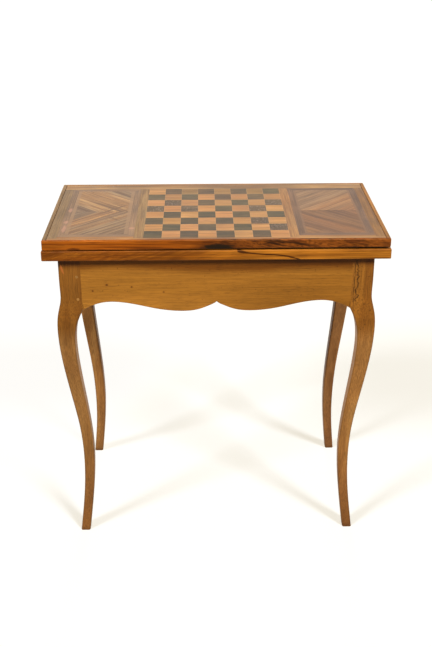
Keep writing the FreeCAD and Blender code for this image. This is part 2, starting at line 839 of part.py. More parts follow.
def make_leaf(leaf, side, bottom, top, core_bottom, core_top, taper, extra_cuts):
    core = box(
        f"{leaf}_board", ("-core_half_length", "core_half_length"), ("field_front", "field_back"),
        (core_bottom, core_top),
    )
    pilots = pilot_holes(f"{leaf}_pilot", hinge_screw_places(side), from_back)
    node(cut(f"{leaf}_core", core, pilots + extra_cuts), f"{leaf}_leaf_core")
    make_front_lipping(leaf, bottom, top, taper)
    make_end_lippings(leaf, bottom, top)
    edge = box(
        f"{leaf}_back_edge", ("-core_half_length", "core_half_length"), ("field_back", "top_back"),
        (bottom, top),
    )
    edge_pilots = pilot_holes(f"{leaf}_edge_pilot", hinge_screw_places(side), from_back)
    node(cut(f"{leaf}_back", edge, hinge_seats(side) + edge_pilots), f"back_{leaf}_lipping")


def make_inner_face(leaf, border_z, baize_z):
    border = mitred_frame(
        f"{leaf}_inner", ("-core_half_length", "core_half_length"), ("field_front", "field_back"),
        "inner_border", border_z, "veneer_thick",
    )
    node(border, f"{leaf}_inner_border")
    baize = box(
        f"{leaf}_cloth", ("-core_half_length + baize_inset", "core_half_length - baize_inset"),
        ("field_front + baize_inset", "field_back - baize_inset"), (baize_z, f"{baize_z} + baize_thick"),
    )
    node(baize, f"{leaf}_baize")


def lower_core_cuts():
    places = flange_screw_places()
    recess = rod("flange_recess", ("pivot_place", "pivot_place", "lower_bottom - cut_overrun"), along_z,
                 "flange_dia / 2 + flange_clear", "flange_thick + cut_overrun")
    stop_hole = rod("stop_hole", ("stop_x", "stop_y", "lower_bottom - cut_overrun"), along_z,
                    "stop_peg_dia / 2 + peg_clear", "stop_peg_seat + cut_overrun")
    return [recess, stop_hole] + pilot_holes("flange_pilot", places, along_z)


# Marquetry on the upper leaf


def veneer(name, x, y):
    return box(name, x, y, ("veneer_bottom", "table_height"))


def make_squares():
    light, dark = [], []
    count = int(value("square_count"))
    for column in range(count):
        for line in range(count):
            x = (f"-board_half + {column} * square_side", f"-board_half + {column + 1} * square_side")
            y = (f"board_front + {line} * square_side", f"board_front + {line + 1} * square_side")
            (dark if (column + line) % 2 == 0 else light).append(veneer("square", x, y))
    node(group("squares_light", light), "light_squares")
    node(group("squares_dark", dark), "dark_squares")


def make_panels():
    for side, name in ((-1, "left"), (1, "right")):
        band = mitred_frame(
            f"{name}_band", span_on(side, "panel_start", "panel_end"), ("panel_front", "board_back"),
            "band_width", "veneer_bottom", "veneer_thick",
        )
        node(band, f"{name}_panel_band")
        field = span_on(side, "panel_start + band_width", "panel_end - band_width")
        front_half = veneer("front_half", field, ("panel_front + band_width", "panel_middle"))
        back_half = veneer("back_half", field, ("panel_middle", "board_back - band_width"))
        end_span = span_on(side, "panel_end", "field_half_length")
        end = veneer("end_strip", end_span, ("board_front", "board_back"))
        node(front_half, f"{name}_panel_front_veneer")
        node(back_half, f"{name}_panel_back_veneer")
        node(end, f"{name}_border_veneer")


def make_borders():
    full = ("-field_half_length", "field_half_length")
    strips = []
    front = [veneer("front_strip", full, ("field_front", "board_front"))]
    for side in (-1, 1):
        beside_board = span_on(side, "board_half", "panel_start")
        strips.append(veneer("board_strip", beside_board, ("board_front", "board_back")))
        below_panel = span_on(side, "panel_start", "panel_end")
        front.append(veneer("panel_front_strip", below_panel, ("board_front", "panel_front")))
    node(group("board_strips", strips), "board_side_strips")
    node(group("front_strips", front), "front_border_veneer")
    node(veneer("back_strip", full, ("board_back", "field_back")), "back_border_veneer")


make_legs()
make_aprons()
make_pegs()
make_rail()
make_well()
wood_screw = make_screw()
make_pivot(wood_screw)
make_hinges(wood_screw)
make_leaf("lower", -1, "lower_bottom", "lower_top", "lower_bottom", "lower_top - veneer_thick", "0",
          lower_core_cuts())
make_inner_face("lower", "lower_top - veneer_thick", "lower_top - veneer_thick")
make_leaf("upper", 1, "upper_bottom", "table_height", "upper_bottom + veneer_thick", "veneer_bottom",
          "lip_taper", [])
make_inner_face("upper", "upper_bottom", "upper_bottom - baize_proud")
make_squares()
make_panels()
make_borders()
document.recompute()

# Nothing is written unless every feature is sound

for item in document.Objects:
    if any(state in ("Invalid", "Error") for state in item.State):
        raise RuntimeError(f"{item.Label} failed: {item.State}")
for item in nodes:
    if item.Shape.isNull() or not item.Shape.isValid() or not item.Shape.Solids:
        raise RuntimeError(f"{item.Label} has no sound solid")

os.makedirs("parts", exist_ok=True)
for item in nodes:
    item.Shape.exportStep(f"parts/{item.Label}.step")
    print(f"{item.Label}: {len(item.Shape.Solids)} solids, {item.Shape.Volume:.0f} mm3")
print(f"{len(nodes)} nodes")
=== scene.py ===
import math
import bpy
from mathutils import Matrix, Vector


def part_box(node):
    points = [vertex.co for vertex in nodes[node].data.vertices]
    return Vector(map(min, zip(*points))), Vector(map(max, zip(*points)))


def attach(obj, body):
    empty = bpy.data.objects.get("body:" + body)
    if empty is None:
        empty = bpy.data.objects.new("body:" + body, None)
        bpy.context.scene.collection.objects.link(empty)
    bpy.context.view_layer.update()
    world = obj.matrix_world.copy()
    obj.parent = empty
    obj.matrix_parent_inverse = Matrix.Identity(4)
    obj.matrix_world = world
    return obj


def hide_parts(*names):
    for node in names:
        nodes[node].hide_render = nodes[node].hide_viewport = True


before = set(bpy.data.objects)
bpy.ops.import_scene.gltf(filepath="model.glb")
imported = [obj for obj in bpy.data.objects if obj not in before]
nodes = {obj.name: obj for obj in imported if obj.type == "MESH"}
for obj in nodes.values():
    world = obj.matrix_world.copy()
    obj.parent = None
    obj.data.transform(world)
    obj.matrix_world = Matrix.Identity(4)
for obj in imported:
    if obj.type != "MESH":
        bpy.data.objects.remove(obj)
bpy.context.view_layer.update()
print("frame loaded:", len(nodes), "pieces")


# Small helpers for node trees

def plug(socket, value):
    if isinstance(value, bpy.types.NodeSocket):
        socket.id_data.links.new(value, socket)
    else:
        socket.default_value = value


def newNode(kind, values, **settings):
    # joins the tree of the sockets it is given; values go by the label or number of their inputs
    tree = next(value.id_data for value in values.values() if isinstance(value, bpy.types.NodeSocket))
    node = tree.nodes.new(kind)
    for name, setting in settings.items():
        setattr(node, name, setting)
    for key, value in values.items():
        plug(node.inputs[key], value)
    return node


def calc(operation, *values):
    return newNode("ShaderNodeMath", dict(enumerate(values)), operation=operation).outputs[0]


def times(first, second):
    return calc("MULTIPLY", first, second)


def plus(first, second):
    return calc("ADD", first, second)


def minus(first, second):
    return calc("SUBTRACT", first, second)


def vectorCalc(operation, *values):
    node = newNode("ShaderNodeVectorMath", dict(enumerate(values)), operation=operation)
    return node.outputs["Value" if operation == "LENGTH" else "Vector"]


def scaled(vector, scale):
    return vectorCalc("MULTIPLY", vector, scale)


def remap(value, low, high, newLow=0.0, newHigh=1.0, smooth=True):
    given = {"Value": value, "From Min": low, "From Max": high, "To Min": newLow, "To Max": newHigh}
    curve = "SMOOTHSTEP" if smooth else "LINEAR"
    return newNode("ShaderNodeMapRange", given, interpolation_type=curve).outputs["Result"]


def noise(vector, scale, detail=2.0, roughness=0.5, output=0):
    given = {"Vector": vector, "Scale": scale, "Detail": detail, "Roughness": roughness}
    return newNode("ShaderNodeTexNoise", given).outputs[output]


def speckle(vector, scale, cut, draw=(1.0, 1.0, 1.0), detail=2.0, roughness=0.5):
    # noise, drawn out along an axis if wanted, cut to a mask
    return remap(noise(scaled(vector, draw), scale, detail, roughness), *cut)


def splitXyz(vector):
    return tuple(newNode("ShaderNodeSeparateXYZ", {0: vector}).outputs)


def joinXyz(x, y, z):
    return newNode("ShaderNodeCombineXYZ", {0: x, 1: y, 2: z}).outputs[0]


def tint(shade):
    # 0-255 screen colour to the linear values that sockets hold
    levels = [level / 255 for level in shade]
    linear = [v / 12.92 if v <= 0.04045 else ((v + 0.055) / 1.055) ** 2.4 for v in levels]
    return (*linear, 1.0)


def threeTones(dark, middle, light):
    return ((0.34, dark), (0.5, middle), (0.66, light))


def ramp(value, stops):
    node = newNode("ShaderNodeValToRGB", {0: value})
    elements = node.color_ramp.elements
    while len(elements) < len(stops):
        elements.new(0.5)
    for element, (position, shade) in zip(elements, stops):
        element.position = position
        element.color = tint(shade)
    return node.outputs["Color"]


def mix(mode, amount, first, second):
    given = {0: amount, 6: first, 7: second}
    return newNode("ShaderNodeMix", given, data_type="RGBA", blend_type=mode).outputs[2]


def cover(amount, shade, colour, depth=1.0):
    return mix("MIX", times(amount, depth), shade, tint(colour))


def stain(amount, shade, colour):
    return mix("MULTIPLY", amount, shade, tint(colour))


def bendOf(value, points):
    # a drawn curve of shares, 0 to 1 both ways
    node = newNode("ShaderNodeFloatCurve", {"Value": value})
    drawn = node.mapping.curves[0].points
    while len(drawn) < len(points):
        drawn.new(0.5, 0.5)
    for spot, place in zip(drawn, points):
        spot.location = place
    node.mapping.update()
    return node.outputs[0]


def placeGroup(group, values):
    return newNode("ShaderNodeGroup", values, node_tree=group).outputs


def newGroup(name, inputs, outputs):
    tree = bpy.data.node_groups.new(name, "ShaderNodeTree")
    kinds = {float: "NodeSocketFloat", tuple: "NodeSocketVector"}
    for label, start in inputs.items():
        socket = tree.interface.new_socket(label, in_out="INPUT", socket_type=kinds[type(start)])
        socket.default_value = start
    for label, kind in outputs.items():
        tree.interface.new_socket(label, in_out="OUTPUT", socket_type=kinds[kind])
    entry = tree.nodes.new("NodeGroupInput").outputs
    leave = tree.nodes.new("NodeGroupOutput").inputs
    return tree, entry, leave


def objectPlace(tree):
    outputs = tree.nodes.new("ShaderNodeTexCoord").outputs
    return outputs["Object"], outputs["Normal"]


def turned(vector, turn):
    return newNode("ShaderNodeMapping", {"Vector": vector, "Rotation": turn}).outputs[0]


def newFinish(name):
    material = bpy.data.materials.new(name)
    material.use_nodes = True
    tree = material.node_tree
    return material, tree, tree.nodes["Principled BSDF"].inputs


def addRelief(shader, height, strength, distance):
    given = {"Height": height, "Strength": strength, "Distance": distance}
    plug(shader["Normal"], newNode("ShaderNodeBump", given).outputs[0])


def finish(material, *names):
    for name in names:
        slots = nodes[name].data.materials
        slots.clear()
        slots.append(material)


# Camera, floor and light

cameraView = {
    "place": (-0.0362, -1.9597, 1.486),
    "pitch": 67.6,          # degrees from looking straight down
    "turn": -1.11,
    "lens": 51.38,
    "sensorHeight": 36.0,
    "shiftUp": -0.129,      # the picture is cut below the lens axis
}

studio = {
    "floorSize": 80.0,
    "floorColour": (0.74, 0.80, 0.92, 1.0),
    "floorRoughness": 0.9,
    "floorLift": (1.22, 1.10, 0.835, 1.0),      # a glow of the paper, which keeps its shadows faint
    "liftShare": 0.52,
    "farLift": (1.09, 1.06, 1.0, 1.0),          # paler far back on the left, a painted glow that washes out the shadow of the top there
    "farShare": 0.84,
    "farSlope": 0.6,
    "farZone": (-0.22, -0.56),
    "skyLevel": 0.18,       # soft light from all round
    "lampSize": 13.0,       # degrees
}

studioLamps = {
    # side in degrees from the front, rise in degrees above the floor
    "rightLamp": {"side": 44.0, "rise": 40.0, "power": 3.0, "gloss": True},
    "leftLamp": {"side": -56.0, "rise": 36.0, "power": 2.55, "gloss": True},
    "backLamp": {"side": 178.0, "rise": 6.0, "power": 1.2, "gloss": False},
}


def deselectAll():
    if bpy.context.object and bpy.context.object.mode != "OBJECT":
        bpy.ops.object.mode_set(mode="OBJECT")
    bpy.ops.object.select_all(action="DESELECT")


def makeCamera():
    view = cameraView
    turn = (math.radians(view["pitch"]), 0.0, math.radians(view["turn"]))
    bpy.ops.object.camera_add(location=view["place"], rotation=turn)
    camera = bpy.context.object
    camera.name = "photoCamera"
    camera.data.sensor_fit = "VERTICAL"
    camera.data.sensor_height = view["sensorHeight"]
    camera.data.lens = view["lens"]
    camera.data.shift_y = view["shiftUp"]
    bpy.context.scene.camera = camera


def makeLamps():
    for name, lamp in studioLamps.items():
        turn = (math.radians(90 - lamp["rise"]), 0.0, math.radians(lamp["side"]))
        bpy.ops.object.light_add(type="SUN", location=(0.0, 0.0, 3.0), rotation=turn)
        sun = bpy.context.object
        sun.name = name
        sun.data.angle = math.radians(studio["lampSize"])
        sun.data.energy = lamp["power"]
        sun.visible_glossy = lamp["gloss"]


def seenOrMirrored(tree):
    path = tree.nodes.new("ShaderNodeLightPath").outputs
    mirrored = calc("MAXIMUM", path["Is Glossy Ray"], path["Is Transmission Ray"])
    return calc("MAXIMUM", path["Is Camera Ray"], mirrored)


def makeWorld():
    world = bpy.data.worlds.new("whiteStudio")
    world.use_nodes = True
    bpy.context.scene.world = world
    tree = world.node_tree
    level = remap(seenOrMirrored(tree), 0.0, 1.0, studio["skyLevel"], 1.0, smooth=False)
    sky = tree.nodes["Background"].inputs
    sky["Color"].default_value = (1.0, 1.0, 1.0, 1.0)
    plug(sky["Strength"], level)


def makeFloor():
    deselectAll()
    bpy.ops.mesh.primitive_plane_add(size=studio["floorSize"])
    floor = bpy.context.object
    floor.name = "paleFloor"
    material, tree, paper = newFinish("palePaper")
    paper["Base Color"].default_value = studio["floorColour"]
    paper["Roughness"].default_value = studio["floorRoughness"]
    paper["Specular IOR Level"].default_value = 0.0
    x, y, z = splitXyz(objectPlace(tree)[0])
    # a painted glow grows far back on the left and washes out the shadow of the top there
    reach = minus(x, times(y, studio["farSlope"]))
    far = remap(reach, *studio["farZone"])
    paperShine = mix("MIX", far, studio["floorLift"], studio["farLift"])
    shine = mix("MIX", seenOrMirrored(tree), (0.0, 0.0, 0.0, 1.0), paperShine)
    lift = newNode("ShaderNodeEmission", {"Color": shine}).outputs[0]
    share = remap(far, 0.0, 1.0, studio["liftShare"], studio["farShare"])
    lit = tree.nodes["Principled BSDF"].outputs[0]
    shader = newNode("ShaderNodeMixShader", {0: share, 1: lit, 2: lift})
    plug(tree.nodes["Material Output"].inputs["Surface"], shader.outputs[0])
    floor.data.materials.append(material)


# Effects that several finishes share

grainNature = {
    "apart": (3.17, 1.91, 2.43),        # keeps the seeds away from each other
    "driftScale": 0.45,
    "threadDraw": (0.014, 1.0, 1.0),
    "poreDraw": (0.05, 1.0, 1.0),
    "poreScale": 1.3,
    "poreCut": (0.6, 0.7),
    "patinaScale": 7.0,
}


def makeWoodGrain():
    # grain runs along the first axis of the vector it is given
    inputs = {"Vector": (0.0, 0.0, 0.0), "Stretch": 0.1, "Figure Scale": 18.0, "Rings": 4.0,
              "Sway": 0.02, "Fibre Scale": 900.0, "Seed": 0.0}
    outputs = {"Figure": float, "Rings": float, "Fibre": float, "Pores": float, "Patina": float}
    tree, entry, leave = newGroup("woodGrain", inputs, outputs)
    apart = scaled(entry["Seed"], grainNature["apart"])
    spot = vectorCalc("ADD", entry["Vector"], apart)
    long = scaled(spot, joinXyz(entry["Stretch"], 1.0, 1.0))
    driftScale = times(entry["Figure Scale"], grainNature["driftScale"])
    drift = vectorCalc("SUBTRACT", noise(long, driftScale, 1.0, output=1), (0.5, 0.5, 0.5))
    swayed = vectorCalc("ADD", long, scaled(drift, entry["Sway"]))
    figure = noise(swayed, entry["Figure Scale"], 3.0, 0.52)
    turns = times(times(figure, entry["Rings"]), 2 * math.pi)
    rings = remap(calc("SINE", turns), -1.0, 1.0, smooth=False)
    thread = scaled(spot, grainNature["threadDraw"])
    fibre = noise(thread, entry["Fibre Scale"], 3.0, 0.65)
    dash = scaled(spot, grainNature["poreDraw"])
    poreScale = times(entry["Fibre Scale"], grainNature["poreScale"])
    pores = remap(noise(dash, poreScale, 1.0), *grainNature["poreCut"])
    patina = noise(spot, grainNature["patinaScale"], 2.0, 0.6)
    for label, value in zip(outputs, (figure, rings, fibre, pores, patina)):
        plug(leave[label], value)
    return tree


waxNature = {
    "cloud": {"scale": 11.0, "detail": 4.0, "roughness": 0.6},
    "cloudShare": 0.7,
    "rubDraw": (0.2, 1.0, 1.0),
    "rubScale": 420.0,
    "rubShare": 0.3,
}


def makeWaxFinish():
    # hand-rubbed wax: duller and shinier patches with fine rubbing marks
    inputs = {"Vector": (0.0, 0.0, 0.0), "Level": 0.4, "Spread": 0.2}
    tree, entry, leave = newGroup("waxFinish", inputs, {"Roughness": float, "Marks": float})
    cloud = noise(entry["Vector"], **waxNature["cloud"])
    marks = noise(scaled(entry["Vector"], waxNature["rubDraw"]), waxNature["rubScale"])
    both = plus(times(cloud, waxNature["cloudShare"]), times(marks, waxNature["rubShare"]))
    change = times(minus(both, 0.5), entry["Spread"])
    plug(leave["Roughness"], plus(entry["Level"], change))
    plug(leave["Marks"], marks)
    return tree


arrisNature = {
    "facing": (0.97, 0.78),     # the largest part of the normal on a face and on a rounded arris
    "patches": {"scale": 55.0, "cut": (0.35, 0.6, 0.35, 1.0), "detail": 3.0, "roughness": 0.7},
}


def makeArrisWear():
    # finds rounded arrises, where the surface faces between two axes
    inputs = {"Normal": (0.0, 0.0, 1.0), "Vector": (0.0, 0.0, 0.0)}
    tree, entry, leave = newGroup("arrisWear", inputs, {"Arris": float})
    x, y, z = splitXyz(vectorCalc("ABSOLUTE", entry["Normal"]))
    most = calc("MAXIMUM", calc("MAXIMUM", x, y), z)
    edge = remap(most, *arrisNature["facing"])
    plug(leave["Arris"], times(edge, speckle(entry["Vector"], **arrisNature["patches"])))
    return tree


knotNature = {
    "edge": {"scale": 1.7, "detail": 3.0, "roughness": 0.6},
    "ragged": 1.1,
    "core": (1.1, 0.55),
    "halo": (2.4, 0.8),
    "deep": 0.02,       # through the face it lies on
}


def makeKnotMark():
    inputs = {"Vector": (0.0, 0.0, 0.0), "Centre": (0.0, 0.0, 0.0), "Size": (0.01, 0.01, 0.01)}
    tree, entry, leave = newGroup("knotMark", inputs, {"Core": float, "Halo": float})
    away = vectorCalc("SUBTRACT", entry["Vector"], entry["Centre"])
    share = vectorCalc("DIVIDE", away, entry["Size"])
    reach = vectorCalc("LENGTH", share)
    rough = noise(share, **knotNature["edge"])
    edge = plus(reach, times(minus(rough, 0.5), knotNature["ragged"]))
    plug(leave["Core"], remap(edge, *knotNature["core"]))
    plug(leave["Halo"], remap(edge, *knotNature["halo"]))
    return tree


def knotAt(where, centre, size):
    return placeGroup(knotMark, {"Vector": where, "Centre": centre, "Size": size})


def smudge(where, place, size, front):
    # on an upright face, in x and z
    return knotAt(where, (place[0], front, place[1]), (size[0], knotNature["deep"], size[1]))


def patch(where, place, size, level):
    # on a level face, in x and y
    return knotAt(where, (*place, level), (*size, knotNature["deep"]))


def makeChevronLay():
    # turns the grain to both sides of a seam, as in book-matched veneer
    inputs = {"Vector": (0.0, 0.0, 0.0), "Start": 0.0, "Seam": 0.0, "Angle": 0.7}
    outputs = {"Lay": tuple, "Across": float, "Back": float}
    tree, entry, leave = newGroup("chevronLay", inputs, outputs)
    x, y, z = splitXyz(entry["Vector"])
    run = minus(x, entry["Start"])
    rise = minus(y, entry["Seam"])
    off = calc("ABSOLUTE", rise)
    back = calc("GREATER_THAN", rise, 0.0)
    cosine = calc("COSINE", entry["Angle"])
    sine = calc("SINE", entry["Angle"])
    along = minus(times(run, cosine), times(off, sine))
    across = plus(times(run, sine), times(off, cosine))
    bookStep = 0.012        # parts the figure of the two leaves
    plug(leave["Lay"], joinXyz(along, across, times(back, bookStep)))
    plug(leave["Across"], across)
    plug(leave["Back"], back)
    return tree


def makeBoardCell():
    # a chance value and a grain of its own for every square of the board
    inputs = {"Vector": (0.0, 0.0, 0.0), "Corner": (0.0, 0.0, 0.0), "Square": 0.04}
    outputs = {"Tone": float, "Second": float, "Lay": tuple, "Edge": float}
    tree, entry, leave = newGroup("boardCell", inputs, outputs)
    fromCorner = vectorCalc("SUBTRACT", entry["Vector"], entry["Corner"])
    steps = vectorCalc("DIVIDE", fromCorner, entry["Square"])
    flat = scaled(steps, (1.0, 1.0, 0.0))
    cell = vectorCalc("FLOOR", flat)
    chance = newNode("ShaderNodeTexWhiteNoise", {"Vector": cell}, noise_dimensions="3D")
    inside = vectorCalc("SUBTRACT", vectorCalc("FRACTION", flat), (0.5, 0.5, 0.5))
    x, y, z = splitXyz(vectorCalc("ABSOLUTE", inside))
    plug(leave["Tone"], chance.outputs["Value"])
    plug(leave["Second"], splitXyz(chance.outputs["Color"])[1])
    plug(leave["Lay"], vectorCalc("ADD", entry["Vector"], chance.outputs["Color"]))
    jointZone = (0.478, 0.497)      # shares of a square from its middle
    plug(leave["Edge"], remap(calc("MAXIMUM", x, y), *jointZone))
    return tree


woodGrain = makeWoodGrain()
waxFinish = makeWaxFinish()
arrisWear = makeArrisWear()
knotMark = makeKnotMark()
chevronLay = makeChevronLay()
boardCell = makeBoardCell()
print("shared effects ready")


# Wood finishes

alongX = (0.0, 0.0, 0.0)
alongY = (0.0, 0.0, math.radians(-90))
alongZ = (0.0, math.radians(90), 0.0)

plainWood = {
    "turn": alongX,
    "stretch": 0.1,
    "rings": 4.0,
    "sway": 0.02,
    "fibre": 900.0,
    "seed": 0.0,
    "ringTint": (150, 96, 60),
    "ringDepth": 0.25,
    "fibreDepth": 0.35,
    "fibreRise": 0.6,
    "poreTint": (52, 28, 10),
    "poreDepth": 0.35,
    "patina": 0.25,
    "patinaRise": 0.7,
    "arrisTint": (196, 128, 60),
    "arrisDepth": 0.35,
    "roughness": 0.42,
    "spread": 0.25,
    "specular": 0.1,
    "relief": 0.18,
    "reliefDepth": 0.0004,
    "fibreRelief": 0.5,
    "rubRelief": 0.3,
}


def grainOf(look, lay):
    return placeGroup(woodGrain, {
        "Vector": lay, "Stretch": look["stretch"], "Figure Scale": look["figure"],
        "Rings": look["rings"], "Sway": look["sway"], "Fibre Scale": look["fibre"],
        "Seed": look["seed"]})


def swing(shade, value, depth, rise):
    # darker by the depth where the value is low, lighter by a share of it where it is high
    usual = (0.3, 0.7)
    return mix("MULTIPLY", 1.0, shade, remap(value, *usual, 1.0 - depth, 1.0 + rise * depth))


def woodColour(look, grain):
    shade = ramp(grain["Figure"], look["stops"])
    ring = times(grain["Rings"], look["ringDepth"])
    shade = stain(ring, shade, look["ringTint"])
    shade = swing(shade, grain["Fibre"], look["fibreDepth"], look["fibreRise"])
    shade = cover(grain["Pores"], shade, look["poreTint"], look["poreDepth"])
    return swing(shade, grain["Patina"], look["patina"], look["patinaRise"])


def makeWood(name, changes, paint=None, layOf=None):
    look = {**plainWood, **changes}
    material, tree, shader = newFinish(name)
    where, facing = objectPlace(tree)
    lay = layOf(where) if layOf else turned(where, look["turn"])
    grain = grainOf(look, lay)
    shade = woodColour(look, grain)
    if paint:
        shade = paint(where, shade, grain)
    wear = placeGroup(arrisWear, {"Normal": facing, "Vector": where})["Arris"]
    shade = cover(wear, shade, look["arrisTint"], look["arrisDepth"])
    given = {"Vector": lay, "Level": look["roughness"], "Spread": look["spread"]}
    wax = placeGroup(waxFinish, given)
    height = minus(times(grain["Fibre"], look["fibreRelief"]), grain["Pores"])
    height = plus(height, times(wax["Marks"], look["rubRelief"]))
    addRelief(shader, height, look["relief"], look["reliefDepth"])
    plug(shader["Base Color"], shade)
    plug(shader["Roughness"], wax["Roughness"])
    shader["Specular IOR Level"].default_value = look["specular"]
    return material


# Legs, aprons and pegs

legLook = {
    "turn": alongZ,
    "stretch": 0.09,
    "figure": 32.0,
    "rings": 3.0,
    "ringDepth": 0.18,
    "stops": threeTones((147, 99, 46), (154, 105, 51), (163, 113, 57)),
    "fibreDepth": 0.34,
    "patina": 0.14,
    "arrisTint": (112, 72, 30),
    "arrisDepth": 0.45,
}

legMarks = {
    "footZone": (0.018, 0.006, 0.0, 0.7),       # the tips have darkened with floor polish
    "footWave": 0.008,
    "footTint": (96, 60, 26),
    "ankleShadeZone": (0.30, 0.06),          # painted shade that darkens the front legs towards the ankles
    "ankleShadeTint": (220, 212, 210),
    "rightAnkleShade": (224, 218, 216),
    "blockZone": (0.495, 0.555),        # the knees and blocks are of a warmer tone
    "blockTint": (215, 196, 142),
    "rightBlock": (248, 248, 245),
    "underShadeZone": (0.678, 0.697),        # painted shadow below the overhanging leaf
    "underShadeTint": (178, 160, 138),
    "sapPlace": (-0.3285, -0.166, 0.681),       # a paler streak at the top of the left leg
    "sapSize": (0.0026, 0.02, 0.012),
    "sapTurn": (0.0, 0.25, 0.0),
    "sapTint": (190, 104, 46),
    "sapDepth": 0.6,
    "crackTint": (62, 36, 8),
    "joint": {"place": 0.2958, "sway": 0.0006, "half": 0.0011, "low": 0.575, "high": 0.706},
    "crack": {"place": 0.3025, "sway": 0.0080, "half": 0.0020, "low": 0.594, "high": 0.704},
    "crackWay": {"scale": 60.0, "detail": 3.0, "roughness": 0.65},
    "crackSoft": 0.4,
    "crackFades": (0.012, 0.006),       # at the low and the high end
    "crackBreaks": {"scale": 130.0, "cut": (0.36, 0.5, 0.35, 0.95)},
    "holesZone": (0.46, 0.53),          # worm holes and specks on the right knee and block
    "holes": {"scale": 260.0, "cut": (0.66, 0.72, 0.0, 0.7), "detail": 1.0},
    "specks": {"scale": 330.0, "cut": (0.55, 0.68, 0.0, 0.5)},
    "speckTint": (104, 58, 12),
}


def paintLeg(where, shade, grain):
    x, y, z = splitXyz(where)
    wavy = plus(z, times(grain["Patina"], legMarks["footWave"]))
    shade = cover(remap(wavy, *legMarks["footZone"]), shade, legMarks["footTint"])
    shade = stain(remap(z, *legMarks["blockZone"]), shade, legMarks["blockTint"])
    # painted shadow of the overhanging leaf on the top of the leg
    return stain(remap(z, *legMarks["underShadeZone"]), shade, legMarks["underShadeTint"])


def paintFrontLeg(where, shade, grain):
    x, y, z = splitXyz(where)
    # painted shade towards the ankles of the front legs
    shade = stain(remap(z, *legMarks["ankleShadeZone"]), shade, legMarks["ankleShadeTint"])
    return paintLeg(where, shade, grain)


def paintLeftLeg(where, shade, grain):
    shade = paintFrontLeg(where, shade, grain)
    away = vectorCalc("SUBTRACT", where, legMarks["sapPlace"])
    leaning = turned(away, legMarks["sapTurn"])
    streak = knotAt(leaning, (0.0, 0.0, 0.0), legMarks["sapSize"])["Core"]
    return cover(streak, shade, legMarks["sapTint"], legMarks["sapDepth"])


def crackLine(where, crack):
    # a fine split that wanders as it runs up the grain, and breaks off here and there
    x, y, z = splitXyz(where)
    wander = noise(joinXyz(0.3, 0.7, z), **legMarks["crackWay"])
    left, right = crack["place"] - crack["sway"], crack["place"] + crack["sway"]
    middle = remap(wander, 0.25, 0.75, left, right, smooth=False)
    off = calc("ABSOLUTE", minus(x, middle))
    line = remap(off, crack["half"], crack["half"] * legMarks["crackSoft"])
    lowFade, highFade = legMarks["crackFades"]
    foot = remap(z, crack["low"], crack["low"] + lowFade)
    ends = times(foot, remap(z, crack["high"], crack["high"] - highFade))
    return times(times(line, ends), speckle(where, **legMarks["crackBreaks"]))


def paintRightLeg(where, shade, grain):
    # shrinkage cracks beside the apron joint and worm holes on the knee
    shade = paintFrontLeg(where, shade, grain)
    x, y, z = splitXyz(where)
    shade = stain(remap(z, *legMarks["blockZone"]), shade, legMarks["rightBlock"])
    # more painted shade at the right ankle
    shade = stain(remap(z, *legMarks["ankleShadeZone"]), shade, legMarks["rightAnkleShade"])
    joint = crackLine(where, legMarks["joint"])
    cracks = calc("MAXIMUM", joint, crackLine(where, legMarks["crack"]))
    knee = remap(z, *legMarks["holesZone"])
    shade = cover(knee, shade, legMarks["speckTint"], speckle(where, **legMarks["specks"]))
    holes = times(knee, speckle(where, **legMarks["holes"]))
    marks = calc("MAXIMUM", cracks, holes)
    return cover(marks, shade, legMarks["crackTint"])


apronLook = {
    "figure": 15.0,
    "rings": 3.0,
    "ringDepth": 0.12,
    "stops": threeTones((166, 108, 34), (176, 115, 39), (186, 123, 45)),
    "fibreDepth": 0.24,
    "patina": 0.07,
    "arrisTint": (206, 140, 60),
}

apronKnots = {
    "places": ((-0.2353, 0.6443), (-0.2659, 0.6304), (-0.1821, 0.6391), (-0.1138, 0.6266)),
    "sizes": ((0.0030, 0.0024), (0.0022, 0.0022), (0.0024, 0.0018), (0.0022, 0.0016)),
    "tint": (92, 52, 14),
    "haloTint": (140, 84, 24),
    "haloDepth": 0.5,
    "streakFrom": (0.100, 0.7030),      # a dark streak that runs on from the leaf above, partly a painted shadow of the leaf
    "streakTo": (0.215, 0.6930),
    "streakZone": (0.0042, 0.0, 0.0, 0.7),
    "streakEnds": ((0.0, 0.25), (1.0, 0.7)),
    "streakTint": (84, 46, 10),
    "underShadeZone": (0.668, 0.692),        # painted shadow below the overhanging leaf, deepest in the middle
    "underShadeTint": (168, 148, 112),
    "underMiddle": 0.03,
    "underSag": (0.2, 0.04, 0.0, 0.008),
    "underWave": 0.016,
    "worms": {"scale": 150.0, "cut": (0.7, 0.75, 0.0, 0.6), "detail": 1.0},
    "wormTint": (104, 62, 18),
    "rightZone": (-0.15, 0.26),         # the board darkens to the right
    "rightTint": (217, 212, 194),
}


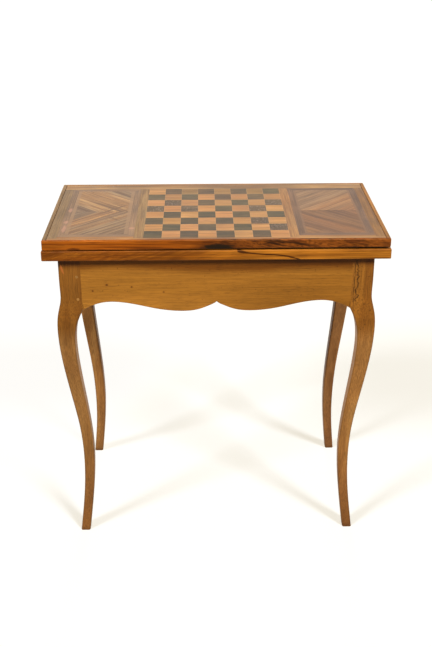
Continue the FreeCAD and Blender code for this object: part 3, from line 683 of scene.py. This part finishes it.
def paintFrontApron(where, shade, grain):
    low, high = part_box("front_apron")
    for place, size in zip(apronKnots["places"], apronKnots["sizes"]):
        knot = smudge(where, place, size, low.y)
        shade = cover(knot["Halo"], shade, apronKnots["haloTint"], apronKnots["haloDepth"])
        shade = cover(knot["Core"], shade, apronKnots["tint"])
    x, y, z = splitXyz(where)
    shade = stain(remap(x, *apronKnots["rightZone"]), shade, apronKnots["rightTint"])
    shade = cover(speckle(where, **apronKnots["worms"]), shade, apronKnots["wormTint"])
    # painted shadow of the overhanging leaf along the top of the apron, wavy and deepest in the middle
    ripple = times(minus(grain["Patina"], 0.5), apronKnots["underWave"])
    aside = calc("ABSOLUTE", minus(x, apronKnots["underMiddle"]))
    height = plus(plus(z, ripple), remap(aside, *apronKnots["underSag"]))
    shade = stain(remap(height, *apronKnots["underShadeZone"]), shade, apronKnots["underShadeTint"])
    # a dark streak in the grain, partly a painted shadow of the leaf above
    (startX, startZ), (endX, endZ) = apronKnots["streakFrom"], apronKnots["streakTo"]
    run = remap(x, startX, endX, smooth=False)
    rise = remap(run, 0.0, 1.0, startZ, endZ, smooth=False)
    off = calc("ABSOLUTE", minus(z, rise))
    first, last = (remap(run, *end) for end in apronKnots["streakEnds"])
    streak = remap(off, *apronKnots["streakZone"])
    return cover(streak, shade, apronKnots["streakTint"], times(first, last))


pegLook = {
    "turn": alongY,
    "stretch": 0.6,
    "figure": 200.0,
    "rings": 2.0,
    "stops": ((0.35, (160, 110, 50)), (0.5, (172, 122, 60)), (0.65, (184, 134, 70))),
    "poreTint": (120, 80, 36),
    "arrisTint": (110, 70, 28),
    "rightTint": (214, 192, 156),    # the pegs on the right have darkened like the leg
}


def paintLongPegs(where, shade, grain):
    x, y, z = splitXyz(where)
    return stain(calc("GREATER_THAN", x, 0.0), shade, pegLook["rightTint"])


legKinds = {
    "front_left_leg": ("leftLegWalnut", paintLeftLeg, {"seed": 7.7}),
    "front_right_leg": ("rightLegWalnut", paintRightLeg, {
        "seed": 2.3, "stops": threeTones((160, 108, 51), (170, 116, 56), (178, 124, 62))}),
    # the back legs' stops are lifted against the shade of the top over them, a painted light
    "back_left_leg": ("backLeftWalnut", paintLeg, {
        "seed": 3.7, "stops": threeTones((152, 101, 48), (166, 113, 57), (178, 126, 66))}),
    "back_right_leg": ("backRightWalnut", paintLeg, {
        "seed": 3.1, "stops": threeTones((126, 80, 39), (141, 92, 46), (153, 103, 55))}),
}


def dressFrame():
    for name, (wood, paint, changes) in legKinds.items():
        finish(makeWood(wood, {**legLook, **changes}, paint), name)
    finish(makeWood("frontApronWalnut", {**apronLook, "seed": 5.0}, paintFrontApron), "front_apron")
    finish(makeWood("backApronWalnut", {**apronLook, "seed": 6.1}), "back_apron")
    sideLook = {**apronLook, "seed": 7.2, "turn": alongY}
    finish(makeWood("sideApronWalnut", sideLook), "left_apron", "right_apron")
    finish(makeWood("frontPegWood", pegLook, paintLongPegs), "front_pegs", "back_pegs")
    finish(makeWood("sidePegWood", {**pegLook, "turn": alongX}), "left_pegs", "right_pegs")
    finish(makeWood("stopPegWood", {**pegLook, "turn": alongZ}), "stop_peg")
    print("legs, aprons and pegs finished")


# Plain wood inside the frame and the leaves

innerLook = {
    "figure": 24.0,
    "stops": threeTones((172, 130, 82), (190, 150, 102), (204, 168, 120)),
    "ringTint": (176, 128, 84),
    "arrisTint": (206, 172, 126),
    "roughness": 0.62,
    "specular": 0.2,
    "relief": 0.3,
}

jointShade = {
    "tint": (22, 13, 6),
    "depth": 0.96,
    "top": (0.002, 0.0005),         # how far from each face it begins and where it is full
    "ends": (0.0015, 0.0005),
    "front": (0.0025, 0.001),
    "border": (0.006, 0.002),
}


def paintJoints(where, shade, grain):
    # painted shade, near black, in the open joints round the core
    low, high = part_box("upper_leaf_core")
    x, y, z = splitXyz(where)
    top = remap(z, *(high.z - gap for gap in jointShade["top"]))
    ends = remap(calc("ABSOLUTE", x), *(high.x - gap for gap in jointShade["ends"]))
    front = remap(y, *(low.y + gap for gap in jointShade["front"]))
    gapShade = calc("MAXIMUM", calc("MAXIMUM", top, ends), front)
    return cover(gapShade, shade, jointShade["tint"], jointShade["depth"])


def paintJointFront(where, shade, grain):
    low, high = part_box("upper_inner_border")
    x, y, z = splitXyz(where)
    # painted shade on the front face of the border, in the gap between the leaves
    gapShade = remap(y, *(low.y + gap for gap in jointShade["border"]), 0.0, jointShade["depth"])
    return cover(gapShade, shade, jointShade["tint"])


def dressInside():
    finish(makeWood("railPoplar", {**innerLook, "seed": 8.0, "turn": alongY}), "pivot_rail")
    boardWood = makeWood("boardPoplar", {**innerLook, "seed": 9.0})
    finish(boardWood, "well_floor", "front_cleat", "back_cleat", "lower_leaf_core")
    finish(makeWood("upperCorePoplar", {**innerLook, "seed": 9.5}, paintJoints), "upper_leaf_core")
    print("inner wood finished")


# Leaf edges

upperEdge = {
    "stops": threeTones((151, 76, 11), (167, 87, 15), (181, 99, 23)),
    "swirl": {"stretch": 0.16, "figure": 120.0, "rings": 2.5, "sway": 0.1, "fibre": 380.0, "seed": 4.4},
    "lean": -11.0,           # degrees that the dark figure runs down to the right
    "curl": 0.012,
    "darkShares": (0.5, 0.55),       # of its rings and its fibre
    "darkStops": ((0.1, (60, 27, 5)), (0.4, (98, 50, 11)), (0.72, (128, 66, 16)), (1.0, (158, 88, 30))),
    "darkLines": {"lean": -9.0, "stretch": 0.1, "broad": 180.0, "thin": 330.0, "depth": 0.95},
    "darkLineTint": (44, 22, 7),
    "plainLines": {"lean": -2.0, "stretch": 0.03, "broad": 220.0, "thin": 380.0, "depth": 0.6},
    "plainLineTint": (92, 40, 5),
    "darkZone": (-0.035, 0.03),      # plain wood to the left, dark figured wood to the right
    "darkWave": 0.16,
    "fadeZone": (0.13, 0.27, 1.0, 0.7),      # the dark lines are weaker near the right end
    "glints": {"scale": 150.0, "cut": (0.55, 0.66, 0.0, 0.75), "draw": (0.3, 1.0, 1.0)},
    "glintZone": (0.738, 0.748),     # painted glints of light along the upper arris
    "glintTint": (152, 76, 26),
    "knotPlace": (0.004, 0.7352),
    "knotSize": (0.040, 0.0100),
    "knotTint": (34, 22, 10),
    "haloTint": (84, 40, 8),
    "haloDepth": 0.6,
    "dabPlaces": ((-0.019, 0.7465), (0.084, 0.7495), (0.165, 0.7490), (0.285, 0.7470)),
    "dabSizes": ((0.014, 0.0034), (0.012, 0.0024), (0.022, 0.0028), (0.020, 0.0042)),
    "dabTint": (64, 27, 8),
    "dabDepth": 0.6,
    "smearPlace": (-0.299, 0.7335),
    "smearSize": (0.016, 0.0030),
    "smearTint": (74, 30, 4),
    "smearDepth": 0.75,
}

lowerEdge = {
    "stops": threeTones((178, 105, 26), (186, 113, 30), (193, 119, 35)),
    "leftLines": {"lean": 17.0, "stretch": 0.07, "broad": 170.0, "thin": 330.0, "depth": 0.5},
    "rightLines": {"lean": 3.0, "stretch": 0.03, "broad": 230.0, "thin": 400.0, "depth": 0.24},
    "lineTint": (88, 42, 8),
    "streakFrom": 0.043,             # a dark streak that runs down across the edge
    "streakTo": 0.178,
    "streakTop": 0.7290,
    "streakFoot": 0.7045,
    "streakShares": ((0.0, 1.0), (0.08, 0.84), (0.3, 0.66), (0.7, 0.48), (0.86, 0.3), (1.0, 0.0)),
    "streakHalf": 0.0024,
    "streakHead": (0.02, 0.22),      # thicker there
    "streakSwell": 2.2,
    "streakSoft": (1.0, 0.4),
    "streakWave": 0.004,
    "streakTint": (70, 34, 5),
    "leftZone": (0.18, -0.14),       # the left half is darker and its lines lie slant
    "leftTint": (207, 194, 180),
    "flame": {"stretch": 0.16, "figure": 110.0, "rings": 2.5, "sway": 0.08, "seed": 6.6},
    "flameLean": 18.0,
    "flameZone": (-0.1, -0.22),
    "flameCut": (0.4, 0.95, 0.0, 0.4),
    "flameTint": (96, 44, 8),
}

lineCuts = {"broad": (0.5, 0.64), "thin": (0.52, 0.66, 0.0, 0.7)}


def fineLines(lay, look):
    # dark lines drawn out along the grain, some broad and some thin
    drawn = (look["stretch"], 1.0, 1.0)
    broad, thin = (speckle(lay, look[kind], cut, drawn) for kind, cut in lineCuts.items())
    return times(calc("MAXIMUM", broad, thin), look["depth"])


def slanted(where, degrees):
    return turned(where, (0.0, math.radians(degrees), 0.0))


def paintUpperEdge(where, shade, grain):
    edge = upperEdge
    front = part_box("front_upper_lipping")[0].y
    x, y, z = splitXyz(where)
    swirl = grainOf({**plainWood, **edge["swirl"]}, slanted(where, edge["lean"]))
    ringShare, fibreShare = edge["darkShares"]
    tone = plus(times(swirl["Rings"], ringShare), times(swirl["Fibre"], fibreShare))
    dark = ramp(tone, edge["darkStops"])
    # painted reddish glints of light near the upper arris
    glint = speckle(where, **edge["glints"])
    dark = cover(glint, dark, edge["glintTint"], remap(z, *edge["glintZone"]))
    wave = minus(swirl["Figure"], 0.5)
    curled = vectorCalc("ADD", where, joinXyz(0.0, 0.0, times(wave, edge["curl"])))
    lines = fineLines(slanted(curled, edge["darkLines"]["lean"]), edge["darkLines"])
    dark = cover(lines, dark, edge["darkLineTint"], remap(x, *edge["fadeZone"]))
    lines = fineLines(slanted(where, edge["plainLines"]["lean"]), edge["plainLines"])
    shade = cover(lines, shade, edge["plainLineTint"])
    waver = times(wave, edge["darkWave"])
    side = remap(plus(x, waver), *edge["darkZone"])
    shade = mix("MIX", side, shade, dark)
    smear = smudge(where, edge["smearPlace"], edge["smearSize"], front)
    shade = cover(smear["Core"], shade, edge["smearTint"], edge["smearDepth"])
    for place, size in zip(edge["dabPlaces"], edge["dabSizes"]):
        dab = smudge(where, place, size, front)
        shade = cover(dab["Core"], shade, edge["dabTint"], edge["dabDepth"])
    knot = smudge(where, edge["knotPlace"], edge["knotSize"], front)
    shade = cover(knot["Halo"], shade, edge["haloTint"], edge["haloDepth"])
    return cover(knot["Core"], shade, edge["knotTint"])


def paintLowerEdge(where, shade, grain):
    edge = lowerEdge
    x, y, z = splitXyz(where)
    leftSide = remap(x, *edge["leftZone"])
    shade = stain(leftSide, shade, edge["leftTint"])
    flame = grainOf({**plainWood, **edge["flame"]}, slanted(where, edge["flameLean"]))
    burnt = remap(flame["Rings"], *edge["flameCut"])
    shade = cover(burnt, shade, edge["flameTint"], remap(x, *edge["flameZone"]))
    slant = fineLines(slanted(where, edge["leftLines"]["lean"]), edge["leftLines"])
    level = fineLines(slanted(where, edge["rightLines"]["lean"]), edge["rightLines"])
    lines = mix("MIX", leftSide, level, slant)
    shade = cover(lines, shade, edge["lineTint"])
    run = remap(x, edge["streakFrom"], edge["streakTo"], smooth=False)
    bend = bendOf(run, edge["streakShares"])
    rise = remap(bend, 0.0, 1.0, edge["streakFoot"], edge["streakTop"], smooth=False)
    waver = times(minus(grain["Figure"], 0.5), edge["streakWave"])
    off = calc("ABSOLUTE", minus(plus(z, waver), rise))
    thick = edge["streakHalf"] * edge["streakSwell"]
    half = remap(run, *edge["streakHead"], thick, edge["streakHalf"])
    line = remap(calc("DIVIDE", off, half), *edge["streakSoft"])
    line = times(line, calc("GREATER_THAN", x, edge["streakFrom"]))
    line = times(line, calc("LESS_THAN", x, edge["streakTo"]))
    return cover(line, shade, edge["streakTint"])


endLook = {
    "turn": alongY,
    "stretch": 0.08,
    "figure": 60.0,
    "rings": 2.0,
    "left": threeTones((136, 106, 68), (150, 119, 80), (164, 133, 94)),
    "right": threeTones((156, 104, 48), (172, 118, 58), (186, 132, 70)),
    "outside": threeTones((136, 80, 26), (152, 92, 34), (166, 104, 44)),
    "arrisTint": (184, 142, 94),
    "arrisDepth": 0.4,
    "upright": (0.7, 0.4),
}


def paintEnd(where, shade, grain):
    # the upright faces are of a warmer tone than the top face
    x, y, up = splitXyz(objectPlace(where.id_data)[1])
    outside = ramp(grain["Figure"], endLook["outside"])
    return mix("MIX", remap(up, *endLook["upright"]), shade, outside)


edgeGrain = {
    "stretch": 0.05,
    "figure": 80.0,
    "rings": 3.0,
    "fibre": 360.0,
    "fibreDepth": 0.42,
    "specular": 0.06,
    "arrisTint": (184, 124, 74),
}


def dressLippings():
    upperLook = {**edgeGrain, "seed": 10.0, "stops": upperEdge["stops"]}
    lowerLook = {**edgeGrain, "seed": 11.0, "stops": lowerEdge["stops"]}
    backLook = {**edgeGrain, "seed": 13.0, "stops": endLook["right"]}
    finish(makeWood("upperFrontLipping", upperLook, paintUpperEdge), "front_upper_lipping")
    finish(makeWood("lowerFrontLipping", lowerLook, paintLowerEdge), "front_lower_lipping")
    finish(makeWood("backLipping", backLook), "back_upper_lipping", "back_lower_lipping")
    for side in ("left", "right"):
        sideLook = {**endLook, "seed": 12.0, "stops": endLook[side]}
        endWood = makeWood(side + "EndLipping", sideLook, paintEnd)
        finish(endWood, f"{side}_upper_lipping", f"{side}_lower_lipping")
    finish(makeWood("lowerInnerBorder", {**apronLook, "seed": 14.0}), "lower_inner_border")
    upperBorder = makeWood("upperInnerBorder", {**apronLook, "seed": 15.0}, paintJointFront)
    finish(upperBorder, "upper_inner_border")
    print("leaf edges finished")


# Inlaid top

topWood = {"specular": 0.35, "roughness": 0.4, "spread": 0.2, "arrisDepth": 0.0, "relief": 0.12}

squareLook = {
    "light": {"figure": 55.0, "rings": 2.0, "stretch": 0.07, "ringDepth": 0.15, "fibreDepth": 0.34,
              "fibre": 420.0, "patina": 0.1,
              "stops": ((0.32, (178, 121, 59)), (0.5, (192, 136, 72)), (0.68, (205, 150, 85)))},
    "dark": {"figure": 120.0, "rings": 2.0, "stretch": 0.2, "ringDepth": 0.2, "fibreDepth": 0.42,
             "fibre": 500.0, "poreTint": (124, 104, 74), "poreDepth": 0.25, "patina": 0.16,
             "stops": ((0.32, (70, 53, 24)), (0.5, (90, 69, 32)), (0.68, (110, 86, 43)))},
    "lightHues": ((250, 253, 236), (255, 245, 244)),     # some golden, some rosy
    "darkHues": ((236, 250, 244), (255, 238, 236)),      # some slate, some brown
    "toneRange": (0.88, 1.08),
    "lightWear": (3.0, 8.0, 1.0, 0.9),       # first and last row, brightness at each
    "darkWear": (2.0, 8.0, 1.0, 1.3),
    "backRow": (216, 224, 216),      # the pale squares of the last row have gone tan
    "backRowFrom": 7.0,
    "flecks": {"scale": 330.0, "cut": (0.5, 0.68, 0.0, 0.62), "draw": (1.0, 0.4, 1.0), "detail": 3.0,
               "roughness": 0.65},
    "fleckRows": (1.0, 6.0),
    "fleckFrom": 0.58,
    "fleckTint": (142, 116, 96),
    "jointTint": {"light": (216, 168, 112), "dark": (62, 44, 24)},
    "jointDepth": 0.5,
}


def boardPlaces():
    low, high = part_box("dark_squares")
    return (low.x, low.y, 0.0), (high.x - low.x) / 8


def makeSquares(kind):
    corner, square = boardPlaces()

    def cellOf(where):
        return placeGroup(boardCell, {"Vector": where, "Corner": corner, "Square": square})

    def layOf(where):
        return cellOf(where)["Lay"]

    def paint(where, shade, grain):
        cell = cellOf(where)
        bright = remap(cell["Tone"], 0.0, 1.0, *squareLook["toneRange"], smooth=False)
        shade = mix("MULTIPLY", 1.0, shade, bright)
        firstHue, secondHue = squareLook[kind + "Hues"]
        hue = mix("MIX", cell["Second"], tint(firstHue), tint(secondHue))
        shade = mix("MULTIPLY", 1.0, shade, hue)
        x, y, z = splitXyz(where)
        rows = calc("DIVIDE", minus(y, corner[1]), square)
        if kind == "light":
            pastFirst = calc("GREATER_THAN", x, corner[0] + square)
            inBackRow = calc("GREATER_THAN", rows, squareLook["backRowFrom"])
            shade = stain(times(inBackRow, pastFirst), shade, squareLook["backRow"])
        else:
            # some squares of the middle rows came from a flecked leaf of veneer
            flecked = calc("GREATER_THAN", cell["Second"], squareLook["fleckFrom"])
            firstRow, lastRow = squareLook["fleckRows"]
            flecked = times(flecked, calc("GREATER_THAN", rows, firstRow))
            flecked = times(flecked, calc("LESS_THAN", rows, lastRow))
            stroke = speckle(cell["Lay"], **squareLook["flecks"])
            shade = cover(flecked, shade, squareLook["fleckTint"], stroke)
        worn = remap(rows, *squareLook[kind + "Wear"], smooth=False)
        shade = mix("MULTIPLY", 1.0, shade, worn)
        return cover(cell["Edge"], shade, squareLook["jointTint"][kind], squareLook["jointDepth"])

    return makeWood(kind + "Squares", {**topWood, **squareLook[kind], "seed": 20.0}, paint, layOf)


panelLook = {
    "angle": 42.0,
    "grain": {"stretch": 0.05, "figure": 75.0, "rings": 3.0, "sway": 0.012,
              "ringTint": (186, 152, 120), "fibreDepth": 0.36, "fibre": 420.0, "patina": 0.08,
              "stops": threeTones((168, 126, 80), (181, 138, 90), (192, 149, 100))},
    "seed": {"left": 30.0, "right": 33.0},
    "ringDepth": {"left": 0.4, "right": 0.12},
    "toneWave": 0.12,
    "lineTint": (96, 66, 40),
    "leftLines": {"stretch": 0.022, "broad": 125.0, "thin": 300.0, "depth": 0.8},
    "rightLines": {"stretch": 0.022, "broad": 170.0, "thin": 340.0, "depth": 0.3},
    "edgeWidth": {"left": 0.008, "right": 0.005},       # the band's stain has run into the field
    "edgeTint": {"left": (149, 113, 77), "right": (122, 87, 56)},
    "edgeFade": (1.1, 0.8),
    "edgeDepth": 0.75,
    "crossPlace": (-0.222, -0.010),     # both lays show through each other here
    "crossSize": (0.020, 0.034),
    "leftFront": ((0.0, (196, 206, 224)), (0.2, (198, 206, 220)), (0.26, (255, 246, 226)),
                  (0.38, (252, 238, 214)), (0.43, (204, 206, 212)), (0.53, (240, 236, 224)),
                  (0.62, (214, 218, 222)), (0.8, (204, 208, 212)), (1.0, (182, 184, 196))),
    # the back half of the left panel is paler, partly a painted highlight
    "leftBack": ((0.0, (204, 210, 224)), (0.18, (206, 212, 224)), (0.26, (250, 246, 232)),
                 (0.5, (255, 252, 238)), (0.74, (250, 246, 236)), (0.8, (214, 224, 238)),
                 (1.0, (210, 218, 236))),
    "rightFront": ((0.0, (218, 188, 154)), (0.08, (192, 168, 144)), (0.18, (168, 150, 136)),
                   (0.45, (180, 162, 142)), (0.6, (194, 168, 140)), (0.74, (178, 160, 144)),
                   (0.86, (182, 164, 148)), (0.9, (226, 208, 172)), (1.0, (220, 204, 170))),
    "rightBack": ((0.0, (232, 206, 182)), (0.2, (218, 205, 194)), (0.38, (230, 210, 190)),
                  (0.5, (212, 208, 208)), (1.0, (208, 207, 212))),
}


def makePanel(side):
    front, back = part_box(f"{side}_panel_front_veneer"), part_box(f"{side}_panel_back_veneer")
    seam = (front[1].y + back[0].y) / 2
    start = front[0].x
    lean = math.radians(panelLook["angle"]) * (1 if side == "left" else -1)
    width, depth = front[1].x - front[0].x, back[1].y - seam
    least = 0.0 if side == "left" else -width * math.sin(abs(lean))
    most = depth * math.cos(lean) + (width * math.sin(lean) if side == "left" else 0.0)

    def chevron(where, angle=lean):
        given = {"Vector": where, "Start": start, "Seam": seam, "Angle": angle}
        return placeGroup(chevronLay, given)

    def layOf(where):
        return chevron(where)["Lay"]

    def paint(where, shade, grain):
        lay = chevron(where)
        spread = times(minus(grain["Figure"], 0.5), panelLook["toneWave"])
        share = plus(remap(lay["Across"], least, most, smooth=False), spread)
        frontTones = ramp(share, panelLook[side + "Front"])
        backTones = ramp(share, panelLook[side + "Back"])
        tones = mix("MIX", lay["Back"], frontTones, backTones)
        shade = mix("MULTIPLY", 1.0, shade, tones)
        line = fineLines(lay["Lay"], panelLook[side + "Lines"])
        if side == "left":
            here = patch(where, panelLook["crossPlace"], panelLook["crossSize"], front[1].z)["Halo"]
            crossed = fineLines(chevron(where, -lean)["Lay"], panelLook[side + "Lines"])
            line = calc("MAXIMUM", line, times(here, crossed))
        shade = cover(line, shade, panelLook["lineTint"])
        x, y, z = splitXyz(where)
        fromRight = minus(front[1].x, x)
        fromEnd = calc("MINIMUM", minus(x, start), fromRight)
        fade = (part * panelLook["edgeWidth"][side] for part in panelLook["edgeFade"])
        edge = remap(fromEnd, *fade, 0.0, panelLook["edgeDepth"])
        return cover(edge, shade, panelLook["edgeTint"][side])

    lookHere = {key: panelLook[key][side] for key in ("seed", "ringDepth")}
    return makeWood(side + "PanelVeneer", {**topWood, **panelLook["grain"], **lookHere}, paint, layOf)


bandLook = {
    "figure": 150.0,
    "rings": 2.0,
    "ringTint": (150, 120, 108),
    "ringDepth": 0.3,
    "fibreDepth": 0.4,
    "fibre": 600.0,
    "left": threeTones((136, 101, 66), (149, 113, 77), (160, 124, 87)),
    "right": threeTones((108, 76, 48), (122, 87, 56), (134, 98, 66)),
}

bandMarks = {
    "seed": {"left": 40.0, "right": 41.0},
    "endSlice": 0.3,
    "pinkTint": (206, 146, 116),
    "pinkDepth": 0.4,
    "pinkPlaces": ((-0.3265, 0.002), (-0.3275, -0.072), (-0.3270, -0.112), (-0.182, -0.110)),
    "pinkSizes": ((0.0055, 0.014), (0.006, 0.010), (0.0055, 0.022), (0.008, 0.006)),
    "dashes": {"scale": 300.0, "cut": (0.55, 0.64, 0.0, 0.6), "draw": (0.35, 1.0, 1.0)},
    "dashZone": (0.022, 0.012),      # from the right end of the band
    "dashTint": (84, 62, 52),
}


def makeBand(side):
    low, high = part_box(f"{side}_panel_band")
    middle, half = (low + high) / 2, (high - low) / 2

    def layOf(where):
        # grain follows each length of the band and turns at the mitres
        x, y, z = splitXyz(vectorCalc("SUBTRACT", where, tuple(middle)))
        fromEnd = minus(half.x, calc("ABSOLUTE", x))
        fromFront = minus(half.y, calc("ABSOLUTE", y))
        endLength = calc("LESS_THAN", fromEnd, fromFront)
        return mix("MIX", endLength, joinXyz(x, y, z), joinXyz(y, x, bandMarks["endSlice"]))

    def paint(where, shade, grain):
        x, y, z = splitXyz(where)
        if side == "left":
            for place, size in zip(bandMarks["pinkPlaces"], bandMarks["pinkSizes"]):
                pink = patch(where, place, size, high.z)["Core"]
                shade = cover(pink, shade, bandMarks["pinkTint"], bandMarks["pinkDepth"])
            return shade
        outer = remap(x, *(high.x - gap for gap in bandMarks["dashZone"]))
        return cover(outer, shade, bandMarks["dashTint"], speckle(where, **bandMarks["dashes"]))

    lookHere = {"seed": bandMarks["seed"][side], "stops": bandLook[side]}
    return makeWood(side + "BandVeneer", {**topWood, **bandLook, **lookHere}, paint, layOf)


borderLook = {
    "stretch": 0.06,
    "figure": 80.0,
    "rings": 3.0,
    "fibreDepth": 0.34,
    "stops": threeTones((148, 105, 56), (164, 121, 68), (177, 134, 80)),
    "front": threeTones((160, 108, 50), (176, 122, 62), (188, 136, 74)),
    "left": threeTones((128, 95, 53), (137, 103, 59), (146, 112, 66)),
    "right": threeTones((126, 82, 29), (135, 90, 34), (145, 99, 40)),
}

stripLook = {
    "turn": alongY,
    "stretch": 0.06,
    "figure": 90.0,
    "rings": 3.0,
    "ringDepth": 0.22,
    "fibreDepth": 0.34,
    "stops": threeTones((166, 112, 54), (178, 124, 63), (189, 136, 74)),
    "leftTint": (208, 224, 244),
}


def paintStrips(where, shade, grain):
    x, y, z = splitXyz(where)
    return stain(calc("LESS_THAN", x, 0.0), shade, stripLook["leftTint"])


def dressTop():
    for kind in ("light", "dark"):
        finish(makeSquares(kind), kind + "_squares")
    stripWood = makeWood("stripVeneer", {**topWood, **stripLook, "seed": 25.0}, paintStrips)
    finish(stripWood, "board_side_strips")
    for side in ("left", "right"):
        finish(makePanel(side), f"{side}_panel_front_veneer", f"{side}_panel_back_veneer")
        finish(makeBand(side), f"{side}_panel_band")
    border = {**topWood, **borderLook}
    frontLook = {**border, "seed": 50.0, "stops": borderLook["front"]}
    finish(makeWood("frontBorderVeneer", frontLook), "front_border_veneer")
    finish(makeWood("backBorderVeneer", {**border, "seed": 52.0}), "back_border_veneer")
    for side in ("left", "right"):
        sideLook = {**border, "seed": 51.0, "turn": alongY, "stops": borderLook[side]}
        finish(makeWood(side + "BorderVeneer", sideLook), f"{side}_border_veneer")
    print("inlaid top finished")


# Brass, steel and baize

metalLooks = {
    "agedBrass": {"stops": ((0.3, (120, 88, 36)), (0.5, (176, 138, 66)), (0.7, (206, 170, 92))),
                  "roughness": 0.34, "scale": 60.0,
                  "pieces": ("left_lower_hinge_plate", "right_lower_hinge_plate",
                             "left_upper_hinge_plate", "right_upper_hinge_plate", "left_hinge_pin",
                             "right_hinge_pin", "lower_hinge_screws", "upper_hinge_screws")},
    "darkSteel": {"stops": ((0.3, (62, 58, 54)), (0.5, (104, 102, 100)), (0.7, (140, 138, 136))),
                  "roughness": 0.42, "scale": 80.0,
                  "pieces": ("pivot_bolt", "pivot_screws", "pivot_washer", "pivot_nut")},
}

brushing = {"draw": (0.05, 1.0, 1.0), "scale": 2200.0, "strength": 0.08, "depth": 0.0002, "spread": 0.3}


def makeMetal(name, look):
    material, tree, shader = newFinish(name)
    where = objectPlace(tree)[0]
    tarnish = noise(where, look["scale"], 5.0, 0.6)
    brushed = noise(scaled(where, brushing["draw"]), brushing["scale"])
    given = {"Vector": where, "Level": look["roughness"], "Spread": brushing["spread"]}
    wax = placeGroup(waxFinish, given)
    addRelief(shader, brushed, brushing["strength"], brushing["depth"])
    plug(shader["Base Color"], ramp(tarnish, look["stops"]))
    plug(shader["Roughness"], wax["Roughness"])
    shader["Metallic"].default_value = 1.0
    return material


def dressMetal():
    for name, look in metalLooks.items():
        finish(makeMetal(name, look), *look["pieces"])
    print("metal finished")


baizeCloth = {
    "cuts": (46, 20),
    "pucker": 0.00025,
    "puckerSeed": 3,
    "edgeRound": 0.0004,
    "edgeSegments": 2,
    "edgeAngle": 50.0,
    "smoothAngle": 40.0,
    "stops": ((0.3, (38, 62, 36)), (0.5, (52, 80, 48)), (0.7, (66, 94, 58))),
    "fades": {"scale": 6.0, "cut": (0.4, 0.75, 0.0, 0.16), "detail": 3.0, "roughness": 0.6},
    "fadeTint": (120, 122, 78),
    "nap": {"scale": 900.0, "detail": 4.0, "roughness": 0.7},
    "napRoughness": (0.3, 0.7, 0.85, 1.0),
    "napStrength": 0.5,
    "napDepth": 0.0006,
    "specular": 0.1,
    "sheen": 0.25,
}


def makeBaizeFinish():
    material, tree, shader = newFinish("greenBaize")
    where = objectPlace(tree)[0]
    nap = noise(where, **baizeCloth["nap"])
    shade = ramp(nap, baizeCloth["stops"])
    shade = cover(speckle(where, **baizeCloth["fades"]), shade, baizeCloth["fadeTint"])
    addRelief(shader, nap, baizeCloth["napStrength"], baizeCloth["napDepth"])
    plug(shader["Base Color"], shade)
    plug(shader["Roughness"], remap(nap, *baizeCloth["napRoughness"]))
    shader["Specular IOR Level"].default_value = baizeCloth["specular"]
    shader["Sheen Weight"].default_value = baizeCloth["sheen"]
    return material


def makeBaize(leaf, material):
    # a field of baize glued into the sunk face of the leaf
    low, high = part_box(f"{leaf}_baize")
    size, middle = high - low, (low + high) / 2
    deselectAll()
    across, deep = baizeCloth["cuts"]
    bpy.ops.mesh.primitive_grid_add(x_subdivisions=across, y_subdivisions=deep, size=1.0,
                                    location=middle)
    cloth = bpy.context.object
    cloth.name = f"{leaf}_baize_field"
    bpy.ops.object.mode_set(mode="EDIT")
    bpy.ops.mesh.select_all(action="SELECT")
    bpy.ops.transform.resize(value=(size.x, size.y, 1.0))
    bpy.ops.transform.vertex_random(offset=baizeCloth["pucker"], uniform=0.0, normal=1.0,
                                    seed=baizeCloth["puckerSeed"])
    bpy.ops.object.mode_set(mode="OBJECT")
    bpy.ops.object.transform_apply(location=True, rotation=True, scale=True)
    thick = cloth.modifiers.new("felt", "SOLIDIFY")
    thick.thickness = size.z - 2 * baizeCloth["pucker"]
    thick.offset = 0.0
    bpy.ops.object.modifier_apply(modifier=thick.name)
    soft = cloth.modifiers.new("cutEdge", "BEVEL")
    soft.width = baizeCloth["edgeRound"]
    soft.segments = baizeCloth["edgeSegments"]
    soft.angle_limit = math.radians(baizeCloth["edgeAngle"])
    bpy.ops.object.modifier_apply(modifier=soft.name)
    bpy.ops.object.shade_smooth_by_angle(angle=math.radians(baizeCloth["smoothAngle"]))
    cloth.data.materials.append(material)
    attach(cloth, f"{leaf}_leaf")
    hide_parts(f"{leaf}_baize")


makeCamera()
makeLamps()
makeWorld()
makeFloor()
print("camera, floor and light ready")
dressFrame()
dressInside()
dressLippings()
dressTop()
dressMetal()
baizeFinish = makeBaizeFinish()
makeBaize("lower", baizeFinish)
makeBaize("upper", baizeFinish)
print("baize laid")

bpy.context.scene.view_settings.view_transform = "Standard"
